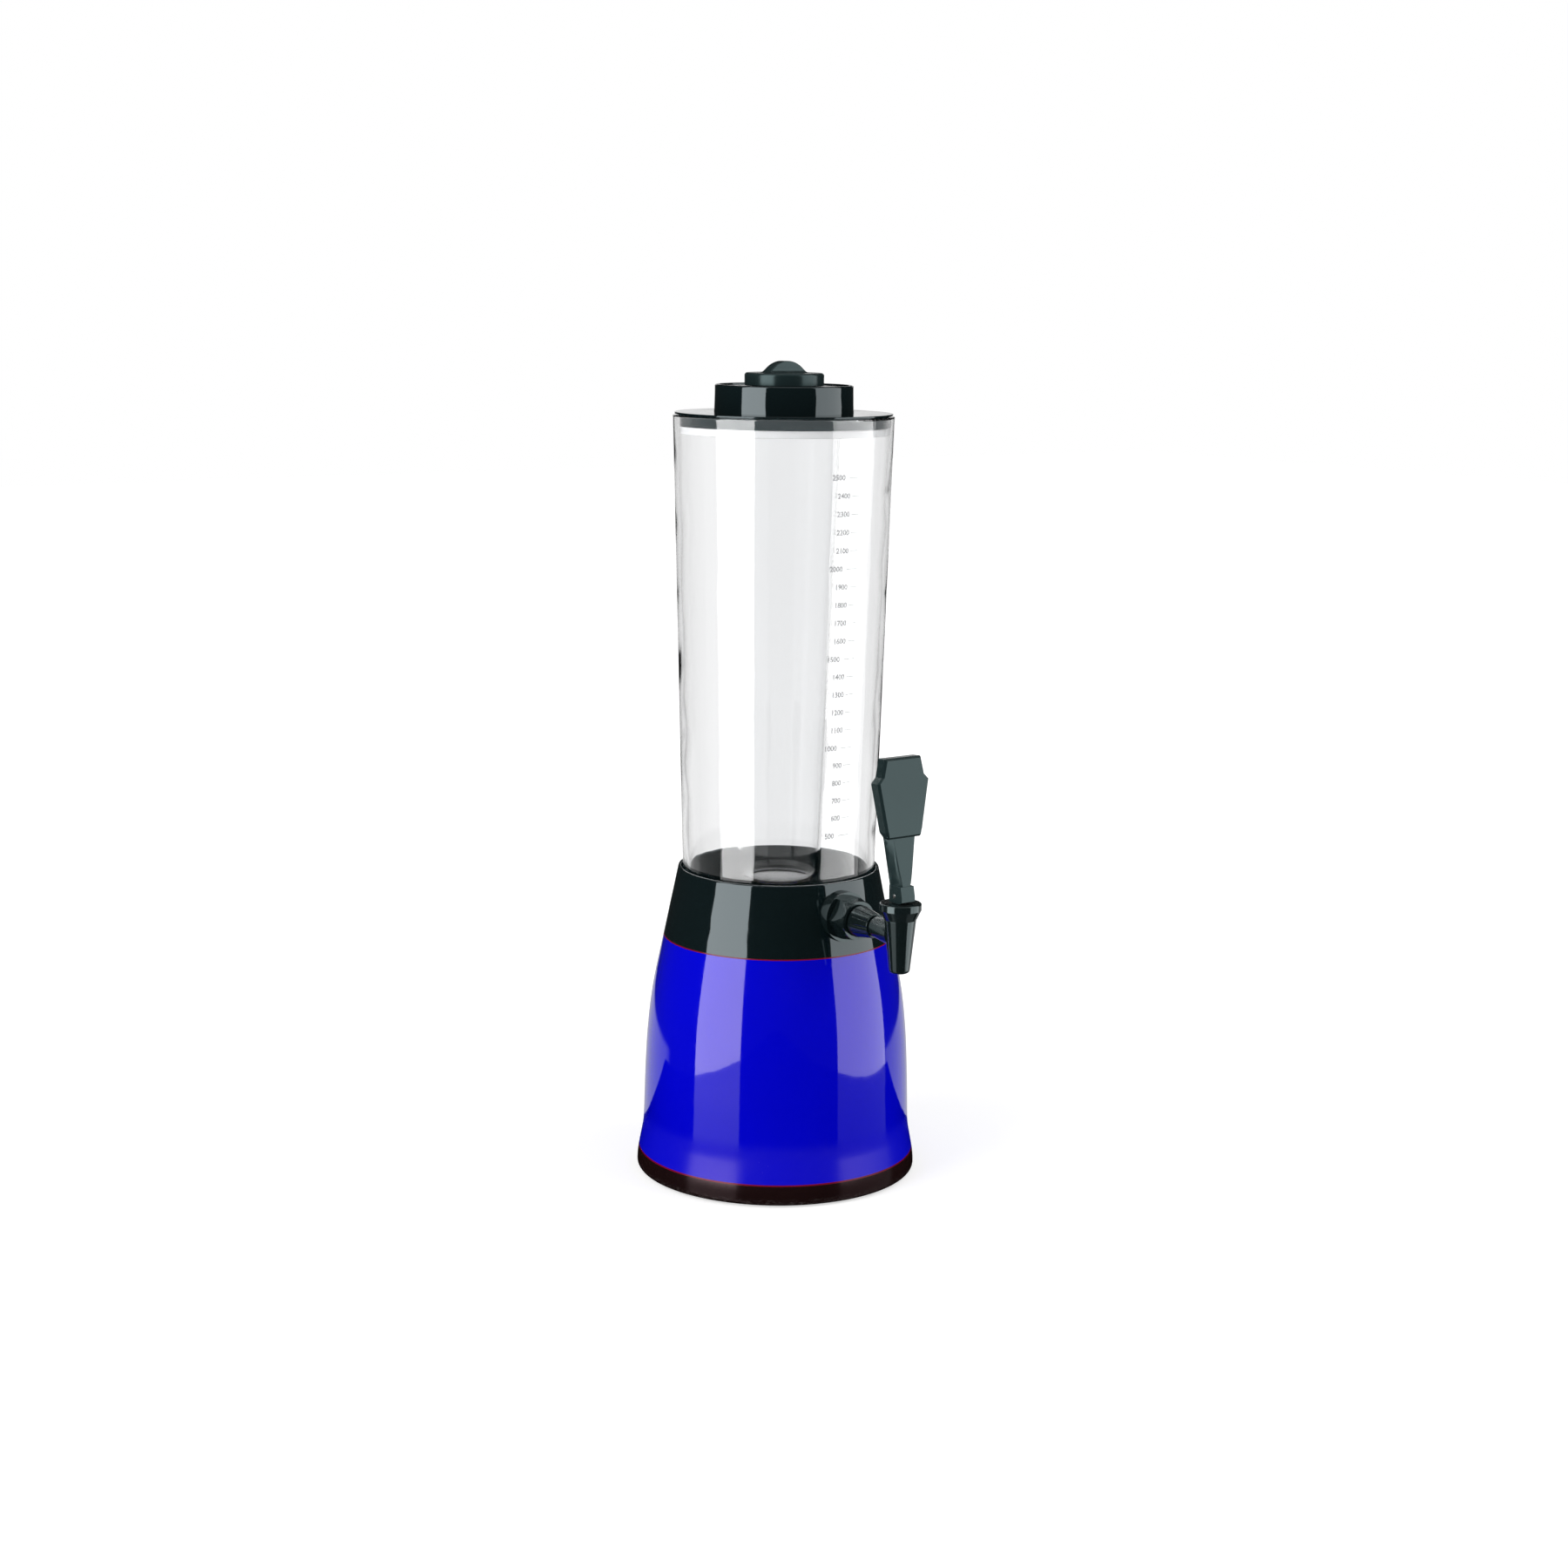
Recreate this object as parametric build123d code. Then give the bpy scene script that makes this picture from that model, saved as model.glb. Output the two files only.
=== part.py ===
from build123d import *
import os
from math import cos, radians, sin

# Table-top drink tower. A clear tapered tube stands in a moulded base and holds the drink.
# A tapered ice tube hangs in it from the lid, and is filled through a twist-out cap.
# A self-closing lever tap is clamped through the collar and the wall of the tube.
#
# Frame: +Z up, the origin on the table under the axis of the tube, the tap towards -Y.
# Outlines of turned pieces are lists of corners (radius, height[, rounding]).
# Pieces of the tap's shank are turned about Z first, with height standing for the distance
# from the tower's axis, and then laid along -Y by on_shank().

# ---------------------------------------------------------------- driving dimensions (mm)
# base: foot ring, shell and collar share one outer profile
PAD_STANDOFF = 1.0        # the pad lifts the foot ring this far off the table
PAD_INSET = 11.0          # screws' axes to the pad's edge
PAD_T = 2.6
FOOT_RING_H = 12.5
FOOT_R = 89.4             # widest, at the belly of the foot ring
FOOT_BELLY_Z = 4.0
FLARE = 4.1               # radius lost from the belly to the waist, where the flare ends
WAIST_Z = 33.0
WAIST_SLOPE = 0.03        # mm of radius lost per mm of height
TAPER = 7.7               # radius lost from the waist to where the collar's straight cone begins
SHOULDER_Z = 131.0
SHELL_H = 138.7
COLLAR_H = 44.0
LOWER_TRIM_H = 1.0
UPPER_TRIM_H = 0.8
SHELL_WALL = 3.0
COLLAR_WALL = 3.9
RIM_GAP = 4.8             # tube to collar, at the rim
SPIGOT_DEPTH = 4.0        # the collar's skirt reaches this far into the shell
SPIGOT_WALL = 2.6
SHELF_T = 3.0
SHELF_W = 9.0
PLATE_T = 3.0
SCREW_COUNT = 4
SCREW_INSET = 10.3        # waist to the screws' axes
SCREW_R = 1.75
SCREW_HEAD_R = 3.4
SCREW_HEAD_T = 1.6
SCREW_LENGTH = 15.0
POST_R = 4.2
POST_H = 42.0
POST_RIB_T = 2.4
LEDGE_T = 2.5             # foot ring's ledge between the plate and the posts
LIP_H = 4.0               # foot ring's lip inside the shell
LIP_WALL = 2.4

# roundings of moulded edges
CRISP_EDGE_R = 0.3
FINE_EDGE_R = 0.5
EDGE_R = 0.6
SOFT_EDGE_R = 0.8

# clear tube
TUBE_LENGTH = 325.3
TUBE_FOOT_R = 53.2
TUBE_MOUTH_R = 66.3
TUBE_WALL = 3.0
TUBE_FLOOR_T = 4.0
TUBE_HEEL_R = 2.0
TUBE_INNER_HEEL_R = 6.0
TUBE_LIP_R = 1.0
SEAT_T = 3.0
SEAT_CUP_H = 15.0
SEAT_CUP_WALL = 2.5
SEAT_CUP_ROOT_R = 1.0
SEAT_HOLE_R = 30.0
TUBE_GASKET_H = 6.0
TUBE_GASKET_T = 2.0

# lid, ice tube and cap
LID_BAND_H = 7.9
LID_BAND_INSET = 0.4      # the band is flush with the tube, a hair inside it
LID_GROOVE_W = 0.8
LID_LIP_T = 1.5
LID_LIP_OUT = 1.3         # overhang of the lip past the tube's mouth
LID_PLATE_T = 2.5
LID_SKIRT_DEPTH = 8.0
LID_SKIRT_WALL = 2.4
LID_GASKET_H = 5.0
LID_GASKET_BITE = 0.8     # depth of the gasket's groove in the skirt
DRUM_R = 43.3
DRUM_DRAFT = 0.5
DRUM_H = 17.0
DRUM_WALL = 2.8
DRUM_RIM_W = 2.6
DRUM_RECESS = 0.8
DRUM_EDGE_R = 1.2
ICE_MOUTH_R = 37.4
ICE_FOOT_R = 25.8
ICE_LENGTH = 305.5
ICE_RISE = 11.5           # the mouth stands this far above the lid's plate
ICE_WALL = 1.8
ICE_ROUND_R = 7.0
ICE_BEAD_H = 3.0
NECK_R = 20.0
NECK_WALL = 2.0
NECK_H = 13.0
CAP_R = 24.6
CAP_T = 7.8
CAP_WALL = 2.2
CAP_EDGE_R = 1.8
CAP_HOLLOW_R = 1.5
PLUG_H = 11.5
PLUG_GAP = 0.5
SEAL_WIRE_R = 1.0
SEAL_DEPTH = 6.0          # from the lid's recess down to the seal
FIN_RADIUS = 17.0
FIN_RISE = 7.2
FIN_T = 8.0
FIN_BLEND = 2.5

# tap
TAP_BELOW_RIM = 20.0      # the shank's axis under the collar's rim
TAP_REACH = 125.0         # tower's axis to the spout's axis
SHANK_R = 8.0
SHANK_BORE_R = 4.0
FLANGE_AF = 24.0          # across the flats of the shank's hexagon
FLANGE_L = 12.5
FLANGE_BACK_R = 14.2
FLANGE_FRONT_R = 12.0
SADDLE_R = 15.5
SADDLE_EDGE_T = 1.0       # thinnest part of the saddle washer
INNER_SEAL_T = 2.4
OUTER_SEAL_T = 2.0
SEAL_RING_R = 12.0
LOCK_NUT_T = 6.0
LOCK_NUT_CHAMFER = 0.8
SHANK_PAST_NUT = 2.0
SPIGOT_R = 6.8            # threaded end that takes the coupling nut
SPIGOT_L = 7.5
FACE_SEAL_T = 1.5
NECK_FLANGE_T = 2.0
NECK_TUBE_R = 5.6
NECK_ROOT_R = 8.6
COUPLING_BACK_R = 10.0
COUPLING_FRONT_R = 7.5
COUPLING_L = 16.0
COUPLING_GAP = 1.0
RIB_COUNT = 12
RIB_GROOVE_R = 0.9
BODY_TOP_R = 9.7
BODY_FOOT_R = 6.2
BODY_DROP = 24.0          # spout's mouth below the shank's axis
BODY_SHOULDER = 9.2       # bonnet's seat above the shank's axis
BODY_SPIGOT_H = 6.8
BODY_SPIGOT_R = 8.4
SPOUT_BORE_R = 3.7
CHAMBER_R = 6.0
CHAMBER_FLOOR = 7.0       # valve seat below the shank's axis
BONNET_R = 12.7
BONNET_FOOT_R = 9.9
BONNET_FLARE_H = 5.8
BONNET_TOP_T = 3.0
STEM_R = 2.6
CUP_HEAD_R = 5.0
CUP_WAIST_R = 3.8
CUP_HEAD_H = 4.0
CUP_CONE_H = 1.0
CUP_FLOOR_T = 2.0
CUP_SKIRT_H = 3.0
CUP_H = 14.9
SPRING_R = 4.2
SPRING_WIRE_R = 0.4
SPRING_TURNS = 4.25

# lever
PIVOT_H = 4.3             # pin's axis above the bonnet
CAM_RATE = 4.0            # mm of lift per radian of tilt
CAM_STEPS = 4             # the cam's curve goes through one point more than this
TILT_MAX = 40.0           # degrees
PIN_R = 1.3
PIN_PROUD = 0.3
HUB_W = 10.0
HUB_BACK = 5.0
HUB_TOP = 6.5
LEAN = 3.6                # degrees that the closed lever leans back
LEVER_NECK_H = 35.5
LEVER_ROOT_W = 10.0
LEVER_ROOT_FACE_W = 5.0
LEVER_ROOT_FRONT = 6.0
LEVER_TIP_W = 17.0
LEVER_TIP_FACE_W = 11.5
LEVER_TIP_FRONT = 4.2
LEVER_BACK = 3.4
PADDLE_FOOT_W = 25.2
PADDLE_WIDE_W = 36.6
PADDLE_TOP_W = 26.0
PADDLE_STEP_H = 4.0
PADDLE_TAPER_H = 33.0
PADDLE_CROWN_H = 11.5
PADDLE_FRONT = 5.6
PADDLE_BACK = 3.0
PADDLE_BEVEL = 1.3
PADDLE_CORNER_R = 1.6

# clearances
GAP = 0.3                 # between pieces that move apart
SEAT_GAP = 0.1            # soft piece against the face that it seals
RUN = 0.05                # shaft in a bore, thread in thread
SNUG = 0.02               # pin held by friction
HOLE_GAP = 0.2            # bolt or shank through a plain hole

# ---------------------------------------------------------------- derived heights and places
WAIST_R = FOOT_R - FLARE
SHOULDER_R = WAIST_R - TAPER
SCREW_RING_R = WAIST_R - SCREW_INSET
PAD_R = SCREW_RING_R - PAD_INSET
FOOT_Z = PAD_STANDOFF
FOOT_TOP_Z = FOOT_Z + FOOT_RING_H
SHELL_Z = FOOT_TOP_Z + LOWER_TRIM_H
SHELL_TOP_Z = SHELL_Z + SHELL_H
COLLAR_Z = SHELL_TOP_Z + UPPER_TRIM_H
RIM_Z = COLLAR_Z + COLLAR_H
TUBE_Z = COLLAR_Z - SPIGOT_DEPTH
SHELF_Z = TUBE_Z - SEAT_T
TUBE_TOP_Z = TUBE_Z + TUBE_LENGTH
LID_Z = TUBE_TOP_Z + GAP
LID_TOP_Z = LID_Z + LID_BAND_H
PLATE_UNDER_Z = LID_TOP_Z - LID_PLATE_T
DRUM_TOP_Z = LID_TOP_Z + DRUM_H
RECESS_Z = DRUM_TOP_Z - DRUM_RECESS
CAP_Z = RECESS_Z + GAP
ICE_TOP_Z = LID_TOP_Z + ICE_RISE
ICE_Z = ICE_TOP_Z - ICE_LENGTH
TAP_Z = RIM_Z - TAP_BELOW_RIM
SPOUT_Z = TAP_Z - BODY_DROP
SEAT_Z = TAP_Z - CHAMBER_FLOOR
SHOULDER_TAP_Z = TAP_Z + BODY_SHOULDER
BODY_TOP_Z = SHOULDER_TAP_Z + BODY_SPIGOT_H
BONNET_UNDER_Z = BODY_TOP_Z + GAP
BONNET_TOP_Z = BONNET_UNDER_Z + BONNET_TOP_T
PIVOT_Z = BONNET_TOP_Z + PIVOT_H
CUP_Z = SEAT_Z + SEAT_GAP
CUP_TOP_Z = CUP_Z + CUP_H
SKIRT_R = CHAMBER_R - SEAT_GAP
HUB_DROP = PIVOT_H - GAP


# ---------------------------------------------------------------- shared shapes
def turned(*outline):
    """Solid of revolution about Z from corners (radius, height[, rounding])."""
    corners = [(corner[0], corner[1]) for corner in outline]
    roundings = [corner[2] if len(corner) > 2 else 0 for corner in outline]
    if any(roundings):
        wire = FilletPolyline(*corners, radius=roundings, close=True)
    else:
        wire = Polyline(*corners, close=True)
    return revolve(Plane.XZ * make_face(wire), Axis.Z)


def ring(inner_r, outer_r, low, high):
    """Plain ring, or a disc when inner_r is 0."""
    return turned((inner_r, low), (outer_r, low), (outer_r, high), (inner_r, high))


def hexagon(across_flats, low, high):
    """Hexagonal prism standing on Z, with a flat to each side."""
    outline = RegularPolygon(across_flats / 2, 6, major_radius=False)
    return Pos(0, 0, low) * extrude(outline, amount=high - low)


def on_shank(shape):
    """Lays a shape that stands on Z along the shank, away from the tower towards -Y."""
    return Pos(0, 0, TAP_Z) * Rot(90, 0, 0) * shape


def on_spout(shape):
    """Moves a shape from the tower's axis to the spout's axis."""
    return Pos(0, -TAP_REACH, 0) * shape


# ---------------------------------------------------------------- profiles
def tube_r(z):
    """Outer radius of the clear tube at a height."""
    return TUBE_FOOT_R + (TUBE_MOUTH_R - TUBE_FOOT_R) * (z - TUBE_Z) / TUBE_LENGTH


def ice_r(z):
    """Outer radius of the ice tube at a height."""
    return ICE_FOOT_R + (ICE_MOUTH_R - ICE_FOOT_R) * (z - ICE_Z) / ICE_LENGTH


RIM_R = tube_r(RIM_Z) + RIM_GAP + COLLAR_WALL
CONE_SLOPE = (SHOULDER_R - RIM_R) / (RIM_Z - SHOULDER_Z)


def collar_r(z):
    """Outer radius of the straight cone that ends at the collar's rim."""
    return RIM_R + CONE_SLOPE * (RIM_Z - z)


def blend(low_r, low_z, low_slope, high_r, high_z, high_slope):
    """Smooth curve between two heights; a slope is the radius lost per mm of height."""
    third = (high_z - low_z) / 3
    return Bezier(
        (low_r, low_z),
        (low_r - low_slope * third, low_z + third),
        (high_r + high_slope * third, high_z - third),
        (high_r, high_z),
    )


def base_core(inset):
    """Everything inside the base's outer profile, drawn in by inset, from table to rim."""
    foot_r = FOOT_R - inset
    waist_r = WAIST_R - inset
    shoulder_r = SHOULDER_R - inset
    rim_r = RIM_R - inset
    outline = (
        Line((foot_r, 0), (foot_r, FOOT_BELLY_Z))
        + blend(foot_r, FOOT_BELLY_Z, 0, waist_r, WAIST_Z, WAIST_SLOPE)
        + blend(waist_r, WAIST_Z, WAIST_SLOPE, shoulder_r, SHOULDER_Z, CONE_SLOPE)
        + Line((shoulder_r, SHOULDER_Z), (rim_r, RIM_Z))
        + Line((rim_r, RIM_Z), (0, RIM_Z))
        + Line((0, RIM_Z), (0, 0))
        + Line((0, 0), (foot_r, 0))
    )
    return revolve(Plane.XZ * make_face(outline), Axis.Z)


def slab(low, high):
    """Everything between two heights."""
    return ring(0, 2 * FOOT_R, low, high)


def base_wall(low, high, wall):
    """Part of the base's skin between two heights."""
    return (base_core(0) - base_core(wall)) & slab(low, high)


# ---------------------------------------------------------------- base
def screw_places():
    """Axes of the base's screws, midway between the tap and the sides."""
    return PolarLocations(SCREW_RING_R, SCREW_COUNT, 180 / SCREW_COUNT)


PLATE_R = WAIST_R - SHELL_WALL - 2 * HOLE_GAP
PLATE_TOP_Z = FOOT_Z + PLATE_T
SCREW_HEAD_Z = FOOT_Z + HOLE_GAP
SCREW_TOP_Z = SCREW_HEAD_Z + SCREW_LENGTH
POST_Z = PLATE_TOP_Z + LEDGE_T


def base_pad():
    return ring(0, PAD_R - HOLE_GAP, 0, PAD_T)


def base_plate():
    plate = ring(0, PLATE_R, FOOT_Z, PLATE_TOP_Z)
    plate -= ring(0, PAD_R, FOOT_Z, PAD_T)
    hole = ring(0, SCREW_R + HOLE_GAP, FOOT_Z, PLATE_TOP_Z)
    sink = ring(0, SCREW_HEAD_R + HOLE_GAP, FOOT_Z, SCREW_HEAD_Z + SCREW_HEAD_T)
    for place in screw_places():
        plate -= place * (hole + sink)
    return plate


def base_screws():
    head = ring(0, SCREW_HEAD_R, SCREW_HEAD_Z, SCREW_HEAD_Z + SCREW_HEAD_T)
    shaft = ring(0, SCREW_R, SCREW_HEAD_Z, SCREW_TOP_Z)
    return [place * (head + shaft) for place in screw_places()]


def foot_ring():
    body = base_core(0) & slab(FOOT_Z, FOOT_TOP_Z)
    body = fillet(body.edges().group_by(Axis.Z)[0], FOOT_BELLY_Z - FOOT_Z - RUN)
    lip_inset = SHELL_WALL + HOLE_GAP
    lip = base_core(lip_inset) & slab(FOOT_TOP_Z - RUN, SHELL_Z + LIP_H)
    inside = base_core(lip_inset + LIP_WALL) & slab(POST_Z, RIM_Z)
    plate_room = ring(0, PLATE_R + HOLE_GAP, FOOT_Z, PLATE_TOP_Z)
    middle = ring(0, SCREW_RING_R - 2 * POST_R, FOOT_Z, POST_Z)
    body = body + lip - inside - plate_room - middle
    hole = ring(0, SCREW_R + HOLE_GAP, FOOT_Z, POST_Z)
    for place in screw_places():
        body -= place * hole
    return body


def lower_trim_ring():
    return base_wall(FOOT_TOP_Z, SHELL_Z, SHELL_WALL)


def upper_trim_ring():
    return base_wall(SHELL_TOP_Z, COLLAR_Z, SHELL_WALL)


def base_shell():
    skin = base_wall(SHELL_Z, SHELL_TOP_Z, SHELL_WALL)
    inner = base_core(SHELL_WALL / 2)
    shelf_r = collar_r(SHELF_Z) - SHELL_WALL - SHELF_W
    shelf = ring(shelf_r, FOOT_R, SHELF_Z - SHELF_T, SHELF_Z) & inner
    shell = skin + shelf
    post = ring(0, POST_R, POST_Z, POST_Z + POST_H)
    rib_z = SHELL_Z + LIP_H + GAP
    rib = Pos(0, 0, rib_z) * Box(
        FOOT_R - SCREW_RING_R, POST_RIB_T, POST_Z + POST_H - rib_z,
        align=(Align.MIN, Align.CENTER, Align.MIN),
    )
    pilot = ring(0, SCREW_R + RUN, POST_Z, SCREW_TOP_Z + 2 * GAP)
    for place in screw_places():
        shell += place * post + (place * rib & inner)
        shell -= place * pilot
    return shell


def collar():
    body = base_wall(COLLAR_Z, RIM_Z, COLLAR_WALL)
    rim_edges = body.edges().group_by(Axis.Z)[-1]
    body = fillet(rim_edges, COLLAR_WALL / 3)
    skirt_inset = SHELL_WALL + HOLE_GAP
    skirt = base_core(skirt_inset) & slab(TUBE_Z, COLLAR_Z + SHELF_T)
    skirt -= base_core(skirt_inset + SPIGOT_WALL)
    body += skirt
    return body - on_shank(ring(0, SHANK_R + HOLE_GAP, 0, TAP_REACH))


def tube_seat():
    cup_r = TUBE_FOOT_R + TUBE_GASKET_T + GAP
    skirt_r = collar_r(TUBE_Z) - SHELL_WALL - HOLE_GAP
    return turned(
        (SEAT_HOLE_R, SHELF_Z),
        (skirt_r, SHELF_Z),
        (skirt_r, TUBE_Z),
        (cup_r + SEAT_CUP_WALL, TUBE_Z, SEAT_CUP_ROOT_R),
        (cup_r + SEAT_CUP_WALL, TUBE_Z + SEAT_CUP_H, EDGE_R),
        (cup_r, TUBE_Z + SEAT_CUP_H, EDGE_R),
        (cup_r, TUBE_Z),
        (SEAT_HOLE_R, TUBE_Z),
    )


def tube_gasket():
    cup_r = TUBE_FOOT_R + TUBE_GASKET_T + GAP
    low = TUBE_Z + TUBE_GASKET_H / 2
    high = low + TUBE_GASKET_H
    return turned(
        (tube_r(low) + RUN, low),
        (cup_r - RUN, low, FINE_EDGE_R),
        (cup_r - RUN, high, FINE_EDGE_R),
        (tube_r(high) + RUN, high),
    )


# ---------------------------------------------------------------- tube, lid, ice tube, cap
def tube():
    floor_z = TUBE_Z + TUBE_FLOOR_T
    body = turned(
        (0, TUBE_Z),
        (TUBE_FOOT_R, TUBE_Z, TUBE_HEEL_R),
        (TUBE_MOUTH_R, TUBE_TOP_Z, TUBE_LIP_R),
        (TUBE_MOUTH_R - TUBE_WALL, TUBE_TOP_Z, TUBE_LIP_R),
        (tube_r(floor_z) - TUBE_WALL, floor_z, TUBE_INNER_HEEL_R),
        (0, floor_z),
    )
    return body - on_shank(ring(0, SHANK_R + HOLE_GAP, 0, TAP_REACH))


def mouth_r(z):
    """Inner radius of the clear tube near its mouth."""
    return tube_r(z) - TUBE_WALL


SKIRT_Z = LID_Z - LID_SKIRT_DEPTH
SKIRT_OUT_R = mouth_r(SKIRT_Z) - 3 * GAP
DRUM_IN_R = DRUM_R - DRUM_WALL
ICE_HOLE_R = ice_r(LID_TOP_Z) + 4 * GAP
GASKET_Z = LID_Z - GAP - LID_GASKET_H


def lid():
    band_r = TUBE_MOUTH_R - LID_BAND_INSET
    lip_r = TUBE_MOUTH_R + LID_LIP_OUT
    lip_z = LID_TOP_Z - LID_LIP_T
    groove_z = LID_Z + LID_BAND_H / 3
    neck_out_r = NECK_R + NECK_WALL
    drum_under_z = RECESS_Z - DRUM_WALL
    body = turned(
        (SKIRT_OUT_R - LID_SKIRT_WALL, SKIRT_Z, EDGE_R),
        (SKIRT_OUT_R, SKIRT_Z, EDGE_R),
        (SKIRT_OUT_R, LID_Z),
        (band_r, LID_Z, CRISP_EDGE_R),
        (band_r, lip_z),
        (lip_r, lip_z + LID_LIP_T / 3),
        (lip_r, LID_TOP_Z, CRISP_EDGE_R),
        (DRUM_R, LID_TOP_Z),
        (DRUM_R - DRUM_DRAFT, DRUM_TOP_Z, DRUM_EDGE_R),
        (DRUM_R - DRUM_DRAFT - DRUM_RIM_W, DRUM_TOP_Z, FINE_EDGE_R),
        (DRUM_R - DRUM_DRAFT - DRUM_RIM_W, RECESS_Z),
        (NECK_R, RECESS_Z, FINE_EDGE_R),
        (NECK_R, RECESS_Z - NECK_H, SOFT_EDGE_R),
        (neck_out_r, RECESS_Z - NECK_H, SOFT_EDGE_R),
        (neck_out_r, drum_under_z),
        (DRUM_IN_R, drum_under_z),
        (DRUM_IN_R, LID_TOP_Z),
        (ICE_HOLE_R, LID_TOP_Z, EDGE_R),
        (ICE_HOLE_R, PLATE_UNDER_Z, EDGE_R),
        (SKIRT_OUT_R - LID_SKIRT_WALL, PLATE_UNDER_Z),
    )
    groove = ring(band_r - LID_GROOVE_W / 2, FOOT_R, groove_z, groove_z + LID_GROOVE_W)
    bed = ring(SKIRT_OUT_R - LID_GASKET_BITE, FOOT_R, GASKET_Z, GASKET_Z + LID_GASKET_H)
    return body - groove - bed


def lid_gasket():
    low = GASKET_Z + RUN
    high = GASKET_Z + LID_GASKET_H - RUN
    bed_r = SKIRT_OUT_R - LID_GASKET_BITE + RUN
    return turned(
        (bed_r, low),
        (mouth_r(low) - HOLE_GAP, low, FINE_EDGE_R),
        (mouth_r(high) - HOLE_GAP, high, FINE_EDGE_R),
        (bed_r, high),
    )


def ice_tube():
    floor_z = ICE_Z + ICE_WALL
    bead_r = DRUM_IN_R - GAP
    bead_z = LID_TOP_Z + RUN
    body = turned(
        (0, ICE_Z),
        (ICE_FOOT_R, ICE_Z, ICE_ROUND_R),
        (ICE_MOUTH_R, ICE_TOP_Z, EDGE_R),
        (ICE_MOUTH_R - ICE_WALL, ICE_TOP_Z, EDGE_R),
        (ICE_FOOT_R - ICE_WALL, floor_z, ICE_ROUND_R - ICE_WALL),
        (0, floor_z),
    )
    bead = turned(
        (ice_r(bead_z) - ICE_WALL / 2, bead_z),
        (bead_r, bead_z, EDGE_R),
        (bead_r, bead_z + ICE_BEAD_H, EDGE_R),
        (ice_r(bead_z) - ICE_WALL / 2, bead_z + ICE_BEAD_H),
    )
    return body + bead


SEAL_Z = RECESS_Z - SEAL_DEPTH
PLUG_R = NECK_R - PLUG_GAP
SEAL_RING_MID_R = NECK_R - SEAT_GAP - SEAL_WIRE_R


def cap():
    top_z = CAP_Z + CAP_T
    disc_and_plug = turned(
        (0, CAP_Z + CAP_T - CAP_WALL),
        (PLUG_R - CAP_WALL, CAP_Z + CAP_T - CAP_WALL, CAP_HOLLOW_R),
        (PLUG_R - CAP_WALL, CAP_Z - PLUG_H, FINE_EDGE_R),
        (PLUG_R, CAP_Z - PLUG_H, SOFT_EDGE_R),
        (PLUG_R, CAP_Z),
        (CAP_R, CAP_Z, FINE_EDGE_R),
        (CAP_R, top_z, CAP_EDGE_R),
        (0, top_z),
    )
    bed = ring(
        SEAL_RING_MID_R - SEAL_WIRE_R - RUN, CAP_R,
        SEAL_Z - SEAL_WIRE_R - RUN, SEAL_Z + SEAL_WIRE_R + RUN,
    )
    wheel = Rot(90, 0, 0) * Cylinder(FIN_RADIUS, FIN_T)
    fin_top_z = top_z + FIN_RISE
    fin = (Pos(0, 0, fin_top_z - FIN_RADIUS) * wheel) & slab(top_z - CAP_WALL / 2, fin_top_z)
    body = disc_and_plug + fin
    feet = body.edges().filter_by_position(Axis.Z, top_z - SNUG, top_z + SNUG)
    body = fillet(feet.filter_by(GeomType.LINE), FIN_BLEND)
    rims = body.edges().filter_by_position(Axis.Z, top_z + FIN_BLEND, fin_top_z)
    body = fillet(rims.filter_by(GeomType.CIRCLE), SOFT_EDGE_R)
    return body - bed


def cap_seal():
    return Pos(0, 0, SEAL_Z) * Torus(SEAL_RING_MID_R, SEAL_WIRE_R)


# ---------------------------------------------------------------- shank and its clamp
SADDLE_FACE = collar_r(TAP_Z - SADDLE_R) + SADDLE_EDGE_T
FLANGE_END = SADDLE_FACE + FLANGE_L
SPIGOT_END = FLANGE_END + SPIGOT_L
NECK_START = SPIGOT_END + FACE_SEAL_T
COUPLING_START = FLANGE_END + COUPLING_GAP
COUPLING_END = COUPLING_START + COUPLING_L
TUBE_FACE = tube_r(TAP_Z)
SEAL_FACE = TUBE_FACE - TUBE_WALL - INNER_SEAL_T
NUT_FACE = SEAL_FACE - LOCK_NUT_T


def shank():
    stem = ring(SHANK_BORE_R, SHANK_R, NUT_FACE - SHANK_PAST_NUT, SADDLE_FACE + RUN)
    cone = turned(
        (SHANK_BORE_R, SADDLE_FACE),
        (FLANGE_BACK_R, SADDLE_FACE),
        (FLANGE_BACK_R, SADDLE_FACE + FLANGE_L / 4),
        (FLANGE_FRONT_R, FLANGE_END),
        (SHANK_BORE_R, FLANGE_END),
    )
    flange = cone & hexagon(FLANGE_AF, SADDLE_FACE, FLANGE_END)
    spigot = ring(SHANK_BORE_R, SPIGOT_R, FLANGE_END - RUN, SPIGOT_END)
    return on_shank(stem + flange + spigot)


def saddle_washer():
    block = ring(SHANK_R + HOLE_GAP, SADDLE_R, RIM_R - 2 * COLLAR_WALL, SADDLE_FACE)
    return on_shank(block) - base_core(-RUN)


def shank_spacer():
    sleeve = ring(SHANK_R + HOLE_GAP, SEAL_RING_R, TUBE_FACE + OUTER_SEAL_T, SADDLE_FACE)
    return on_shank(sleeve) & base_core(COLLAR_WALL + RUN)


def tube_cone(offset):
    """Solid cone of the tube's outer surface, grown by offset."""
    return turned(
        (0, TUBE_Z), (TUBE_FOOT_R + offset, TUBE_Z), (TUBE_MOUTH_R + offset, TUBE_TOP_Z), (0, TUBE_TOP_Z)
    )


def outer_seal():
    block = ring(SHANK_R + HOLE_GAP, SEAL_RING_R, TUBE_FACE / 2, TUBE_FACE + OUTER_SEAL_T)
    return on_shank(block) - tube_cone(RUN)


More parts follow.
